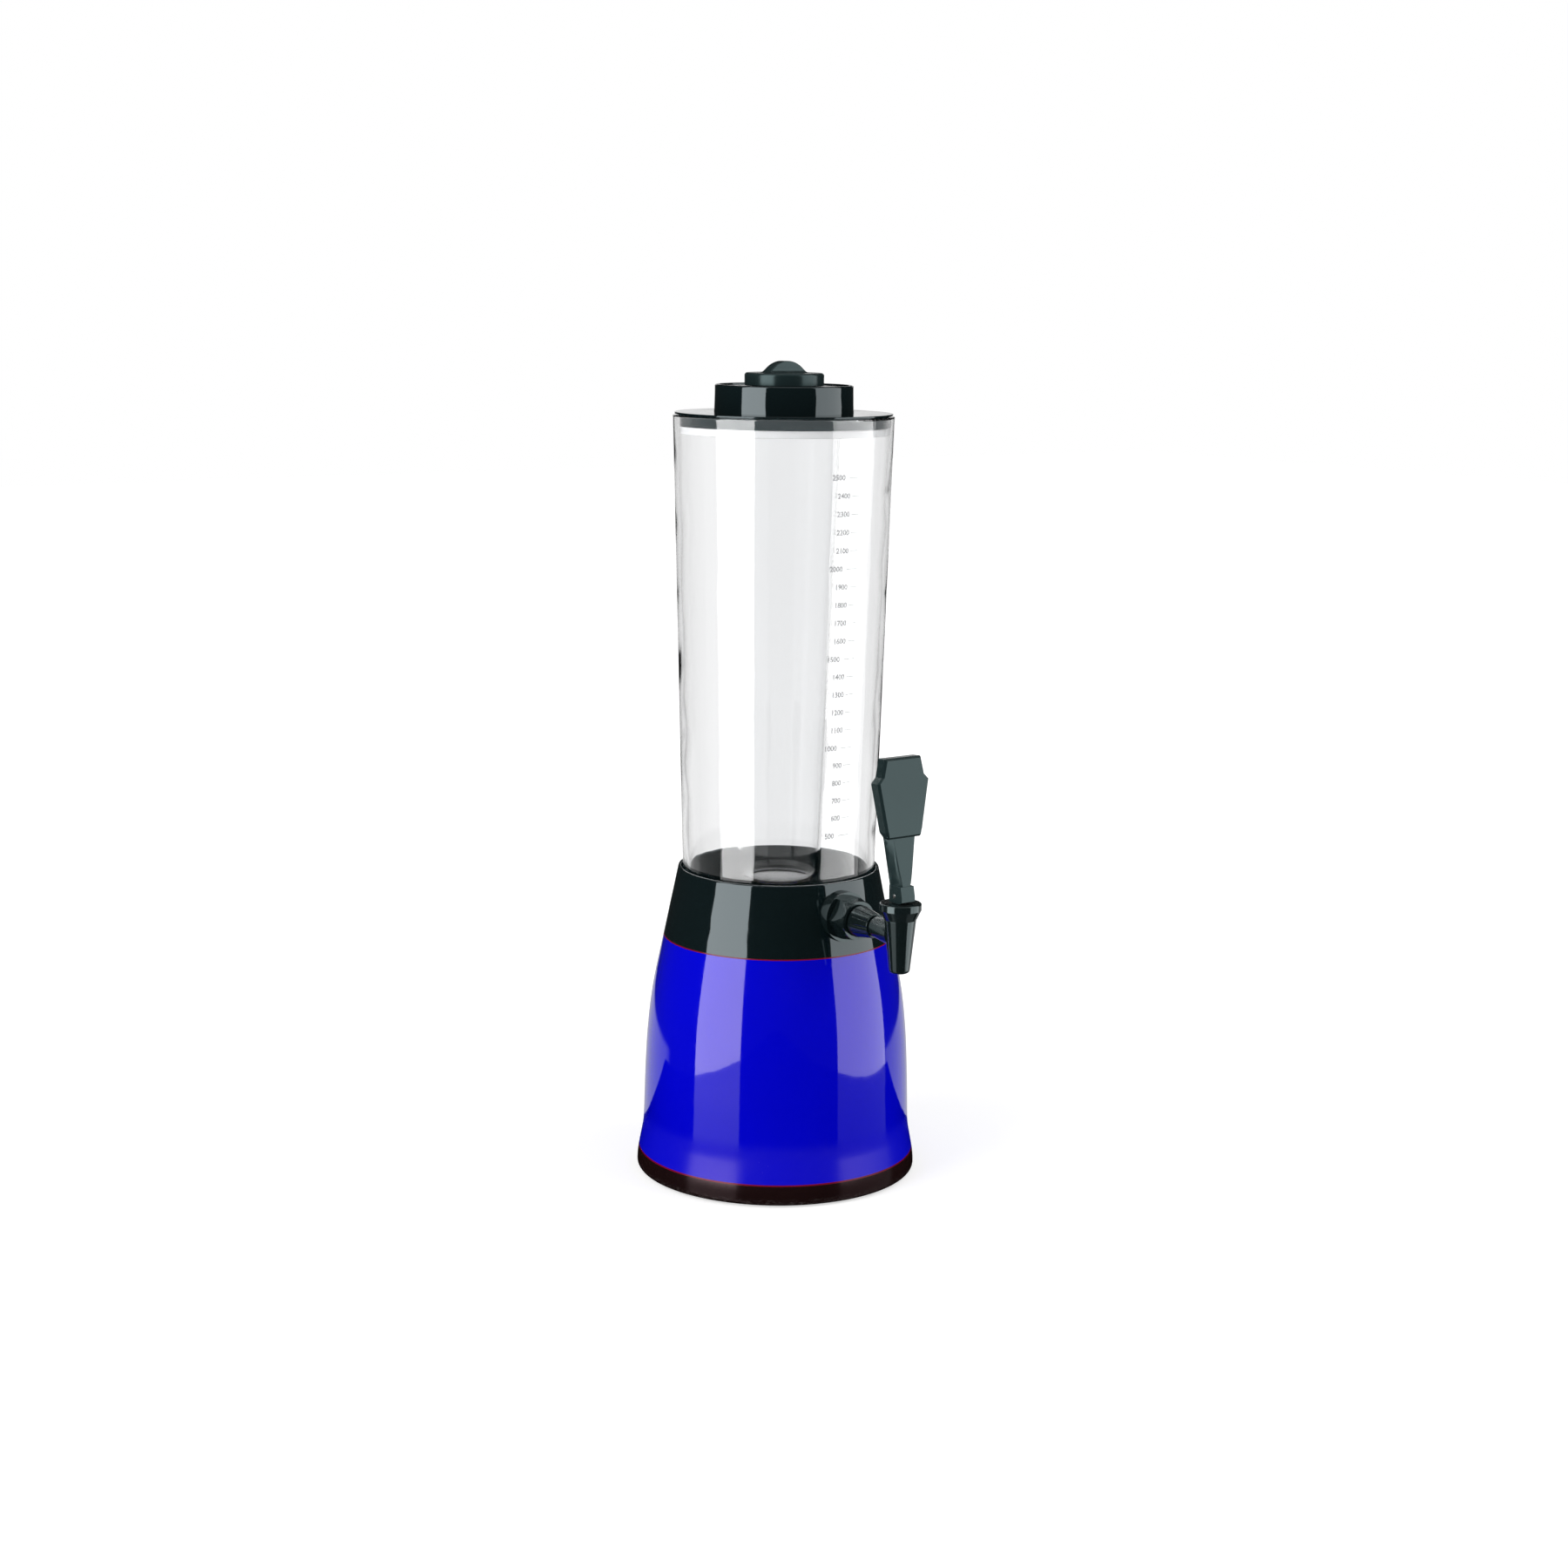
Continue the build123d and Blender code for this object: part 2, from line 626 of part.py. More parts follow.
def inner_seal():
    block = ring(SHANK_R + HOLE_GAP, SEAL_RING_R, SEAL_FACE, TUBE_FACE)
    return on_shank(block) & tube_cone(-TUBE_WALL - RUN)


def lock_nut():
    blank = hexagon(FLANGE_AF, NUT_FACE, SEAL_FACE)
    corner_r = FLANGE_AF / 2 / cos(radians(30))
    crown = turned(
        (0, NUT_FACE),
        (corner_r - LOCK_NUT_CHAMFER, NUT_FACE),
        (corner_r, NUT_FACE + LOCK_NUT_CHAMFER),
        (corner_r, SEAL_FACE),
        (0, SEAL_FACE),
    )
    return on_shank((blank & crown) - ring(0, SHANK_R + RUN, NUT_FACE, SEAL_FACE))


def coupling_nut():
    shoulder = NECK_START + NECK_FLANGE_T + RUN
    body = turned(
        (SPIGOT_R + RUN, COUPLING_START),
        (COUPLING_BACK_R, COUPLING_START, EDGE_R),
        (COUPLING_FRONT_R, COUPLING_END, FINE_EDGE_R),
        (NECK_TUBE_R + HOLE_GAP, COUPLING_END),
        (NECK_TUBE_R + HOLE_GAP, shoulder),
        (SPIGOT_R + RUN, shoulder),
    )
    start = Vector(COUPLING_BACK_R + RIB_GROOVE_R / 3, 0, COUPLING_START + COUPLING_L / 8)
    end = Vector(COUPLING_FRONT_R + RIB_GROOVE_R / 3, 0, COUPLING_END + RIB_GROOVE_R)
    groove = Plane(start, z_dir=end - start) * Cylinder(
        RIB_GROOVE_R, (end - start).length, align=(Align.CENTER, Align.CENTER, Align.MIN)
    )
    for turn in PolarLocations(0, RIB_COUNT):
        body -= turn * groove
    return on_shank(body)


def coupling_seal():
    return on_shank(ring(SHANK_BORE_R + RUN, SPIGOT_R - RUN, SPIGOT_END, NECK_START))


# ---------------------------------------------------------------- tap body and valve
def body_r(z):
    """Outer radius of the tap's body at a height below its shoulder."""
    run = SHOULDER_TAP_Z - SPOUT_Z
    return BODY_FOOT_R + (BODY_TOP_R - BODY_FOOT_R) * (z - SPOUT_Z) / run


def tap_body():
    outside = turned(
        (0, SPOUT_Z),
        (BODY_FOOT_R, SPOUT_Z, BODY_FOOT_R - SPOUT_BORE_R - HOLE_GAP),
        (BODY_TOP_R, SHOULDER_TAP_Z, CRISP_EDGE_R),
        (BODY_SPIGOT_R, SHOULDER_TAP_Z),
        (BODY_SPIGOT_R, BODY_TOP_Z),
        (0, BODY_TOP_Z),
    )
    neck = turned(
        (0, NECK_START),
        (SPIGOT_R - RUN, NECK_START),
        (SPIGOT_R - RUN, NECK_START + NECK_FLANGE_T),
        (NECK_TUBE_R, NECK_START + NECK_FLANGE_T),
        (NECK_TUBE_R, COUPLING_END + GAP),
        (NECK_TUBE_R + COUPLING_GAP, COUPLING_END + COUPLING_GAP),
        (NECK_ROOT_R, TAP_REACH - body_r(TAP_Z) / 2),
        (0, TAP_REACH - body_r(TAP_Z) / 2),
    )
    body = on_spout(outside) + on_shank(neck)
    chamber = ring(0, CHAMBER_R, SEAT_Z, BODY_TOP_Z)
    spout = ring(0, SPOUT_BORE_R, SPOUT_Z, SEAT_Z)
    inlet = ring(0, SHANK_BORE_R, NECK_START, TAP_REACH)
    return body - on_spout(chamber + spout) - on_shank(inlet)


def bonnet():
    cavity_r = BODY_SPIGOT_R + RUN
    foot_z = SHOULDER_TAP_Z + RUN
    return on_spout(turned(
        (cavity_r, foot_z),
        (BONNET_FOOT_R, foot_z),
        (BONNET_R, foot_z + BONNET_FLARE_H),
        (BONNET_R, BONNET_TOP_Z, SOFT_EDGE_R),
        (STEM_R + RUN, BONNET_TOP_Z),
        (STEM_R + RUN, BONNET_UNDER_Z),
        (cavity_r, BONNET_UNDER_Z),
    ))


def seat_cup():
    core_r = STEM_R + RUN
    return on_spout(turned(
        (0, CUP_Z),
        (CUP_HEAD_R, CUP_Z, FINE_EDGE_R),
        (CUP_HEAD_R, CUP_Z + CUP_HEAD_H, SOFT_EDGE_R),
        (CUP_WAIST_R, CUP_Z + CUP_HEAD_H + CUP_CONE_H),
        (CUP_WAIST_R, CUP_TOP_Z - CUP_SKIRT_H - CUP_CONE_H),
        (SKIRT_R, CUP_TOP_Z - CUP_SKIRT_H),
        (SKIRT_R, CUP_TOP_Z),
        (core_r, CUP_TOP_Z),
        (core_r, CUP_Z + CUP_FLOOR_T),
        (0, CUP_Z + CUP_FLOOR_T),
    ))


def valve_stem():
    rod = ring(0, STEM_R, CUP_Z + CUP_FLOOR_T + RUN, PIVOT_Z)
    eye = Pos(0, 0, PIVOT_Z) * Sphere(STEM_R)
    cross_hole = Pos(0, 0, PIVOT_Z) * Rot(0, 90, 0) * Cylinder(PIN_R + RUN, HUB_W)
    return on_spout(rod + eye - cross_hole)


def valve_spring():
    low = CUP_TOP_Z + SPRING_WIRE_R + RUN
    height = BONNET_UNDER_Z - CUP_TOP_Z - 2 * (SPRING_WIRE_R + RUN)
    path = Helix(pitch=height / SPRING_TURNS, height=height, radius=SPRING_R)
    section = Plane(origin=path @ 0, z_dir=path % 0) * Circle(SPRING_WIRE_R)
    wire = sweep(section, path=path, is_frenet=True)
    return on_spout(Pos(0, 0, low) * wire)


# ---------------------------------------------------------------- lever, in the pin's frame
def cam_point(tilt):
    """Point (y, z) of the cam that touches the bonnet when the lever is tilted.

    The lever's lift is CAM_RATE times the tilt, so the cam is the involute whose distance
    below the pin is HUB_DROP + CAM_RATE * tilt and whose offset ahead of it is CAM_RATE.
    """
    angle = radians(tilt)
    drop = HUB_DROP + CAM_RATE * angle
    y = -drop * sin(angle) - CAM_RATE * cos(angle)
    z = -drop * cos(angle) + CAM_RATE * sin(angle)
    return y, z


def hub():
    curve = [cam_point(TILT_MAX * step / CAM_STEPS) for step in range(CAM_STEPS + 1)]
    front, front_z = curve[-1]
    outline = (
        Line((HUB_BACK, -HUB_DROP), curve[0])
        + Spline(*curve)
        + Line(curve[-1], (front, 0))
        + Line((front, 0), (-LEVER_ROOT_FRONT, HUB_TOP))
        + Line((-LEVER_ROOT_FRONT, HUB_TOP), (HUB_BACK, HUB_TOP))
        + Line((HUB_BACK, HUB_TOP), (HUB_BACK, -HUB_DROP))
    )
    block = extrude(Plane.YZ * make_face(outline), amount=HUB_W / 2, both=True)
    slot_r = STEM_R + GAP
    reach = 2 * HUB_DROP
    lean = radians(TILT_MAX)
    circles = [
        Circle(slot_r),
        Pos(0, -reach) * Circle(slot_r),
        Pos(-reach * sin(lean), -reach * cos(lean)) * Circle(slot_r),
    ]
    sweep_area = make_hull([edge for circle in circles for edge in circle.edges()])
    slot = extrude(Plane.YZ * sweep_area, amount=slot_r, both=True)
    hole = Rot(0, 90, 0) * Cylinder(PIN_R + SNUG, 2 * HUB_W)
    return block - slot - hole


def lever_section(height, width, face_width, front):
    """Cross-section of the lever's neck: a trapezium, narrower at the front."""
    corners = [
        (-width / 2, LEVER_BACK, height),
        (width / 2, LEVER_BACK, height),
        (face_width / 2, -front, height),
        (-face_width / 2, -front, height),
    ]
    return make_face(Polyline(*corners, close=True))


def paddle():
    half = (PADDLE_FOOT_W / 2, PADDLE_WIDE_W / 2, PADDLE_TOP_W / 2)
    foot = LEVER_NECK_H + PADDLE_STEP_H
    wide = foot + PADDLE_TAPER_H
    top = wide + PADDLE_CROWN_H
    outline = FilletPolyline(
        (LEVER_TIP_W / 2, LEVER_NECK_H), (half[0], foot), (half[1], wide), (half[2], top),
        (-half[2], top), (-half[1], wide), (-half[0], foot), (-LEVER_TIP_W / 2, LEVER_NECK_H),
        radius=PADDLE_CORNER_R, close=True,
    )
    blank = extrude(make_face(outline), amount=PADDLE_FRONT + PADDLE_BACK)
    faces = blank.faces().sort_by(Axis.Z)
    blank = chamfer(faces[0].edges() + faces[-1].edges(), PADDLE_BEVEL)
    return Rot(90, 0, 0) * Pos(0, 0, -PADDLE_BACK) * blank


def handle():
    neck = loft([
        lever_section(HUB_TOP / 2, LEVER_ROOT_W, LEVER_ROOT_FACE_W, LEVER_ROOT_FRONT),
        lever_section(LEVER_NECK_H + PADDLE_BEVEL, LEVER_TIP_W, LEVER_TIP_FACE_W, LEVER_TIP_FRONT),
    ], ruled=True)
    lever = Rot(-LEAN, 0, 0) * (neck + paddle())
    return on_spout(Pos(0, 0, PIVOT_Z) * (hub() + lever))


def pivot_pin():
    length = HUB_W + 2 * PIN_PROUD
    pin = Cylinder(PIN_R, length)
    pin = chamfer(pin.edges().filter_by(GeomType.CIRCLE), PIN_PROUD)
    return on_spout(Pos(0, 0, PIVOT_Z) * Rot(0, 90, 0) * pin)


# ---------------------------------------------------------------- output
PIECES = (
    base_pad, base_plate, base_screws, foot_ring, lower_trim_ring, base_shell, upper_trim_ring,
    collar, tube_seat, tube_gasket, tube, lid, lid_gasket, ice_tube, cap, cap_seal,
    shank, saddle_washer, shank_spacer, outer_seal, inner_seal, lock_nut,
    coupling_nut, coupling_seal, tap_body, bonnet, seat_cup, valve_stem, valve_spring,
    handle, pivot_pin,
)

os.makedirs("parts", exist_ok=True)
for piece in PIECES:
    made = piece()
    solids = made if isinstance(made, list) else [made]
    shape = Compound(children=[solid for one in solids for solid in one.solids()])
    export_step(shape, os.path.join("parts", piece.__name__ + ".step"))
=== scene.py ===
# %% [markdown]
# # Dressing a drink tower
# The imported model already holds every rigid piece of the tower: a clear tapered tube, the
# flared base, the lid with its ice tube and cap, and the lever tap. This lesson gives those
# pieces their finishes, refits a few of them as reshaped copies, prints the scale on the tube,
# and sets up a small studio round them. No piece of the frame itself is moved or reshaped.

# %% Load the frame
import math

import bmesh
import bpy
import numpy as np
from mathutils import Matrix, Vector


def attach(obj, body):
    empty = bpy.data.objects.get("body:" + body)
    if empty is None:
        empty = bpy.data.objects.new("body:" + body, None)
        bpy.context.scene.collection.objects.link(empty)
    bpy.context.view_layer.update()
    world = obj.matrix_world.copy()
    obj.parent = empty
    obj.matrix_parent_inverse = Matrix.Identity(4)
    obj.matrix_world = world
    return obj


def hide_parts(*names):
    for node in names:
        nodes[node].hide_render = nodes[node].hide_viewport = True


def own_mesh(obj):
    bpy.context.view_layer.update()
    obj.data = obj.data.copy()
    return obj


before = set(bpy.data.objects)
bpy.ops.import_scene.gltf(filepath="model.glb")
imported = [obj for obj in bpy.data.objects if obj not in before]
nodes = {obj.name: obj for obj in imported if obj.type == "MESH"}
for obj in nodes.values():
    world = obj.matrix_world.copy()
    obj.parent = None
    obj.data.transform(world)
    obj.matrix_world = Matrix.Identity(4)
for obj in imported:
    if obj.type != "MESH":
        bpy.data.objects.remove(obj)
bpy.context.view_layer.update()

scene = bpy.context.scene

# %% [markdown]
# ## The camera
# The tower stands on a table, and the camera looks slightly down on it from the front left of
# the tap, so the tap shows from its side. A long lens keeps the tube's sides almost parallel.
# Blender's camera looks along its own -Z, so it is first stood up by a quarter turn less the
# downward tilt, then turned about the vertical, and rolled about its own axis before both.

# %% Camera
CAMERA_AZIMUTH = math.radians(-36.0)
CAMERA_DISTANCE = 1.6447
CAMERA_HEIGHT = 0.5532
CAMERA_TILT = math.radians(10.44)
CAMERA_YAW = math.radians(0.1)
CAMERA_ROLL = math.radians(0.7)
LENS_MM = 60.6

camera = bpy.data.objects.new("camera", bpy.data.cameras.new("camera"))
scene.collection.objects.link(camera)
camera.data.lens = LENS_MM
camera.data.sensor_width = 36.0
camera.data.clip_start = 0.05
camera.data.clip_end = 50.0
toward_camera = Vector((math.sin(CAMERA_AZIMUTH), -math.cos(CAMERA_AZIMUTH), 0.0))
camera.matrix_world = (
    Matrix.Translation(toward_camera * CAMERA_DISTANCE + Vector((0.0, 0.0, CAMERA_HEIGHT)))
    @ Matrix.Rotation(CAMERA_AZIMUTH - CAMERA_YAW, 4, "Z")
    @ Matrix.Rotation(math.pi / 2 - CAMERA_TILT, 4, "X")
    @ Matrix.Rotation(CAMERA_ROLL, 4, "Z")
)
scene.camera = camera
print("camera at", tuple(round(v, 3) for v in camera.matrix_world.translation))

# %% [markdown]
# ## Small helpers for node trees
# A material is a graph of nodes. Two short helpers keep the cells below readable: one adds a
# node and sets its inputs by name, the other joins an output to an input. A value that is a
# node's output is linked, and a plain number or colour is set on the socket.


# %% Node helpers
def put(tree, kind, settings=None, **inputs):
    """Adds a node. Settings are its attributes; inputs go by name with _ for a space."""
    node = tree.nodes.new(kind)
    for name, value in (settings or {}).items():
        setattr(node, name, value)
    for name, value in inputs.items():
        plug(tree, node.inputs[name.replace("_", " ")], value)
    return node


def plug(tree, socket, value):
    """Links an output to the socket, or sets the socket to a plain value."""
    if isinstance(value, bpy.types.NodeSocket):
        tree.links.new(value, socket)
    else:
        socket.default_value = value


def math_node(tree, operation, first, second=0.0, clamp=False):
    """Output of a Math node with two operands."""
    node = tree.nodes.new("ShaderNodeMath")
    node.operation = operation
    node.use_clamp = clamp
    plug(tree, node.inputs[0], first)
    plug(tree, node.inputs[1], second)
    return node.outputs[0]


def ramp(tree, value, low, high, low_out=0.0, high_out=1.0):
    """Maps value smoothly from low..high to low_out..high_out."""
    node = put(tree, "ShaderNodeMapRange", {"interpolation_type": "SMOOTHSTEP"}, Value=value)
    node.inputs["From Min"].default_value = low
    node.inputs["From Max"].default_value = high
    node.inputs["To Min"].default_value = low_out
    node.inputs["To Max"].default_value = high_out
    return node.outputs["Result"]


def mix_colour(tree, factor, first, second):
    """Output of a colour mix: first where factor is 0, second where it is 1."""
    node = tree.nodes.new("ShaderNodeMix")
    node.data_type = "RGBA"
    plug(tree, node.inputs[0], factor)
    plug(tree, node.inputs[6], first)
    plug(tree, node.inputs[7], second)
    return node.outputs[2]


def mix_value(tree, factor, first, second):
    """Output of a number mix: first where factor is 0, second where it is 1."""
    node = tree.nodes.new("ShaderNodeMix")
    node.data_type = "FLOAT"
    plug(tree, node.inputs[0], factor)
    plug(tree, node.inputs[2], first)
    plug(tree, node.inputs[3], second)
    return node.outputs[0]


def mix_shader(tree, factor, first, second):
    """Output of a shader mix: first where factor is 0, second where it is 1."""
    node = put(tree, "ShaderNodeMixShader", Fac=factor)
    plug(tree, node.inputs[1], first)
    plug(tree, node.inputs[2], second)
    return node.outputs[0]


def along(tree, vector, axis):
    """How far a vector reaches along a fixed axis of length 1: their dot product."""
    node = put(tree, "ShaderNodeVectorMath", {"operation": "DOT_PRODUCT"})
    plug(tree, node.inputs[0], vector)
    node.inputs[1].default_value = axis
    return node.outputs["Value"]


def noise(tree, point, scale, detail=2.0, rough=0.5):
    """Noise value 0..1 at a scale in cells per metre."""
    return put(
        tree, "ShaderNodeTexNoise", Vector=point, Scale=scale, Detail=detail, Roughness=rough
    ).outputs["Fac"]


def group(name, sockets_in, sockets_out):
    """A shader node group with named inputs (name, kind, default) and outputs (name, kind)."""
    tree = bpy.data.node_groups.new(name, "ShaderNodeTree")
    for label, kind, default in sockets_in:
        socket = tree.interface.new_socket(label, in_out="INPUT", socket_type=kind)
        socket.default_value = default
    for label, kind in sockets_out:
        tree.interface.new_socket(label, in_out="OUTPUT", socket_type=kind)
    return tree, tree.nodes.new("NodeGroupInput").outputs, tree.nodes.new("NodeGroupOutput").inputs


FLOAT, COLOUR = "NodeSocketFloat", "NodeSocketColor"

# %% [markdown]
# ## Effect 1: a moulded skin
# Injection-moulded plastic is never perfectly even. Its colour drifts a little where the melt
# cooled at another speed, its gloss is broken by handling smudges and hairline marks from
# wiping, and its surface has a very shallow orange peel. The same effect, at other strengths,
# also gives the grained and matt pieces, so it is made once as a node group. It reads Object
# coordinates, which are metres on the object itself, so a pattern keeps its size and stays
# with the piece when it moves. The Height output is in metres, for a Bump node.

# %% Group: moulded skin
skin, skin_in, skin_out = group(
    "moulded_skin",
    [
        ("Colour", COLOUR, (0.5, 0.5, 0.5, 1.0)),
        ("Drift Colour", COLOUR, (0.5, 0.5, 0.5, 1.0)),
        ("Roughness", FLOAT, 0.3),
        ("Smudge", FLOAT, 0.05),
        ("Hairlines", FLOAT, 0.05),
        ("Peel Height", FLOAT, 1.5e-6),
        ("Grain Height", FLOAT, 0.0),
    ],
    [("Colour", COLOUR), ("Roughness", FLOAT), ("Height", FLOAT)],
)
place = put(skin, "ShaderNodeTexCoord").outputs["Object"]
drift = ramp(skin, noise(skin, place, scale=9.0, detail=3.0), low=0.35, high=0.65)
plug(skin, skin_out["Colour"], mix_colour(skin, drift, skin_in["Colour"], skin_in["Drift Colour"]))
smudges = noise(skin, place, scale=55.0, detail=4.0, rough=0.6)
smudges = ramp(skin, smudges, low=0.48, high=0.75)
tilted = put(
    skin, "ShaderNodeMapping", Vector=place, Rotation=(0.5, 0.3, 0.7), Scale=(1.0, 0.04, 0.3)
).outputs[0]
hair = ramp(skin, noise(skin, tilted, scale=1400.0, detail=1.0), low=0.66, high=0.74)
patches = ramp(skin, noise(skin, place, scale=25.0, detail=1.0), low=0.5, high=0.7)
hair = math_node(skin, "MULTIPLY", hair, patches)
rough = math_node(skin, "MULTIPLY_ADD", smudges, skin_in["Smudge"])
plug(skin, rough.node.inputs[2], skin_in["Roughness"])
rough_all = math_node(skin, "MULTIPLY_ADD", hair, skin_in["Hairlines"], clamp=True)
plug(skin, rough_all.node.inputs[2], rough)
plug(skin, skin_out["Roughness"], rough_all)
waves = noise(skin, place, scale=230.0, detail=1.0)
peel = math_node(skin, "MULTIPLY", waves, skin_in["Peel Height"])
grains = noise(skin, place, scale=3200.0)
grain = math_node(skin, "MULTIPLY_ADD", grains, skin_in["Grain Height"])
plug(skin, grain.node.inputs[2], peel)
plug(skin, skin_out["Height"], grain)
print("group", skin.name, "with", len(skin.nodes), "nodes")

# %% [markdown]
# ## Effect 2: settled dust
# Dust lies on faces that look up and is wiped off the sides. The mask is the upward part of
# the true normal, broken up by two noises, and it lightens the colour and dulls the gloss.

# %% Group: dust
dust, dust_in, dust_out = group(
    "settled_dust",
    [
        ("Colour", COLOUR, (0.5, 0.5, 0.5, 1.0)),
        ("Roughness", FLOAT, 0.3),
        ("Amount", FLOAT, 0.1),
    ],
    [("Colour", COLOUR), ("Roughness", FLOAT)],
)
place = put(dust, "ShaderNodeTexCoord").outputs["Object"]
normal = put(dust, "ShaderNodeNewGeometry").outputs["Normal"]
upward = put(dust, "ShaderNodeSeparateXYZ", Vector=normal).outputs["Z"]
upward = ramp(dust, upward, low=0.25, high=0.95)
clumps = ramp(dust, noise(dust, place, scale=160.0, detail=5.0, rough=0.7), low=0.4, high=0.8)
specks = ramp(dust, noise(dust, place, scale=2600.0, detail=1.0), low=0.62, high=0.72)
cover = math_node(dust, "MAXIMUM", clumps, specks)
cover = math_node(dust, "MULTIPLY", cover, upward)
cover = math_node(dust, "MULTIPLY", cover, dust_in["Amount"], clamp=True)
DUST_COLOUR, DUST_ROUGHNESS = (0.42, 0.41, 0.39, 1.0), 0.5
plug(dust, dust_out["Colour"], mix_colour(dust, cover, dust_in["Colour"], DUST_COLOUR))
duller = math_node(dust, "MULTIPLY_ADD", cover, DUST_ROUGHNESS, clamp=True)
plug(dust, duller.node.inputs[2], dust_in["Roughness"])
plug(dust, dust_out["Roughness"], duller)
print("group", dust.name, "with", len(dust.nodes), "nodes")

# %% [markdown]
# ## Effect 3: scuffs near the table
# The foot of the tower is pushed about on a bar top, so its lowest millimetres carry pale
# scuffs and a duller gloss. The mask falls off with height above the table and is cut into
# short horizontal strokes by a noise that is stretched round the base.

# %% Group: scuffs
scuff, scuff_in, scuff_out = group(
    "foot_scuffs",
    [
        ("Colour", COLOUR, (0.5, 0.5, 0.5, 1.0)),
        ("Roughness", FLOAT, 0.3),
        ("Top", FLOAT, 0.006),
        ("Amount", FLOAT, 0.3),
    ],
    [("Colour", COLOUR), ("Roughness", FLOAT)],
)
place = put(scuff, "ShaderNodeTexCoord").outputs["Object"]
height = put(scuff, "ShaderNodeSeparateXYZ", Vector=place).outputs["Z"]
low_part = math_node(scuff, "DIVIDE", height, scuff_in["Top"])
low_part = math_node(scuff, "SUBTRACT", 1.0, low_part, clamp=True)
flat = put(scuff, "ShaderNodeMapping", Vector=place, Scale=(1.0, 1.0, 9.0)).outputs[0]
strokes = ramp(scuff, noise(scuff, flat, scale=300.0, detail=3.0, rough=0.65), low=0.52, high=0.62)
worn = math_node(scuff, "MULTIPLY", strokes, low_part)
worn = math_node(scuff, "MULTIPLY", worn, scuff_in["Amount"], clamp=True)
SCUFF_COLOUR, SCUFF_ROUGHNESS = (0.22, 0.20, 0.19, 1.0), 0.6
plug(scuff, scuff_out["Colour"], mix_colour(scuff, worn, scuff_in["Colour"], SCUFF_COLOUR))
duller = math_node(scuff, "MULTIPLY_ADD", worn, SCUFF_ROUGHNESS, clamp=True)
plug(scuff, duller.node.inputs[2], scuff_in["Roughness"])
plug(scuff, scuff_out["Roughness"], duller)
print("group", scuff.name, "with", len(scuff.nodes), "nodes")

# %% [markdown]
# ## Effect 4: a parting line
# Where the two halves of a mould meet, a moulded piece carries a hair-fine raised line. On the
# tap and its lever the halves meet in the plane through the tower's axis, X = 0, so the line
# is a narrow ridge of height wherever X is close to 0.

# %% Group: parting line
seam, seam_in, seam_out = group(
    "parting_line",
    [("Height", FLOAT, 0.0), ("Line Height", FLOAT, 3.0e-5), ("Half Width", FLOAT, 2.0e-4)],
    [("Height", FLOAT)],
)
place = put(seam, "ShaderNodeTexCoord").outputs["Object"]
across = put(seam, "ShaderNodeSeparateXYZ", Vector=place).outputs["X"]
off_line = math_node(seam, "ABSOLUTE", across)
off_line = math_node(seam, "DIVIDE", off_line, seam_in["Half Width"])
ridge = ramp(seam, off_line, low=0.0, high=1.0, low_out=1.0, high_out=0.0)
raised = math_node(seam, "MULTIPLY_ADD", ridge, seam_in["Line Height"])
plug(seam, raised.node.inputs[2], seam_in["Height"])
plug(seam, seam_out["Height"], raised)
print("group", seam.name, "with", len(seam.nodes), "nodes")

# %% [markdown]
# ## Finishes
# Each finish is one Principled shader. What changes over the surface comes out of the groups;
# what is the same everywhere, such as the refractive index or the coat, is set on the shader's
# own sockets, so that it survives an export. `moulded` builds all the opaque plastics.


# %% Material helpers
def start(name):
    """New material with an empty tree: returns (material, tree, Principled node)."""
    material = bpy.data.materials.new(name)
    material.use_nodes = True
    tree = material.node_tree
    tree.nodes.clear()
    shader = tree.nodes.new("ShaderNodeBsdfPrincipled")
    output = tree.nodes.new("ShaderNodeOutputMaterial")
    tree.links.new(shader.outputs[0], output.inputs["Surface"])
    return material, tree, shader


def use(tree, shared, **inputs):
    """Places a node group; input names have _ for a space."""
    node = tree.nodes.new("ShaderNodeGroup")
    node.node_tree = shared
    for name, value in inputs.items():
        plug(tree, node.inputs[name.replace("_", " ")], value)
    return node


PLASTIC_IOR, CLEAR_IOR, SILICONE_IOR = 1.5, 1.48, 1.41
WORN_ROUGHNESS = 0.16
WORN_FADE = 0.010


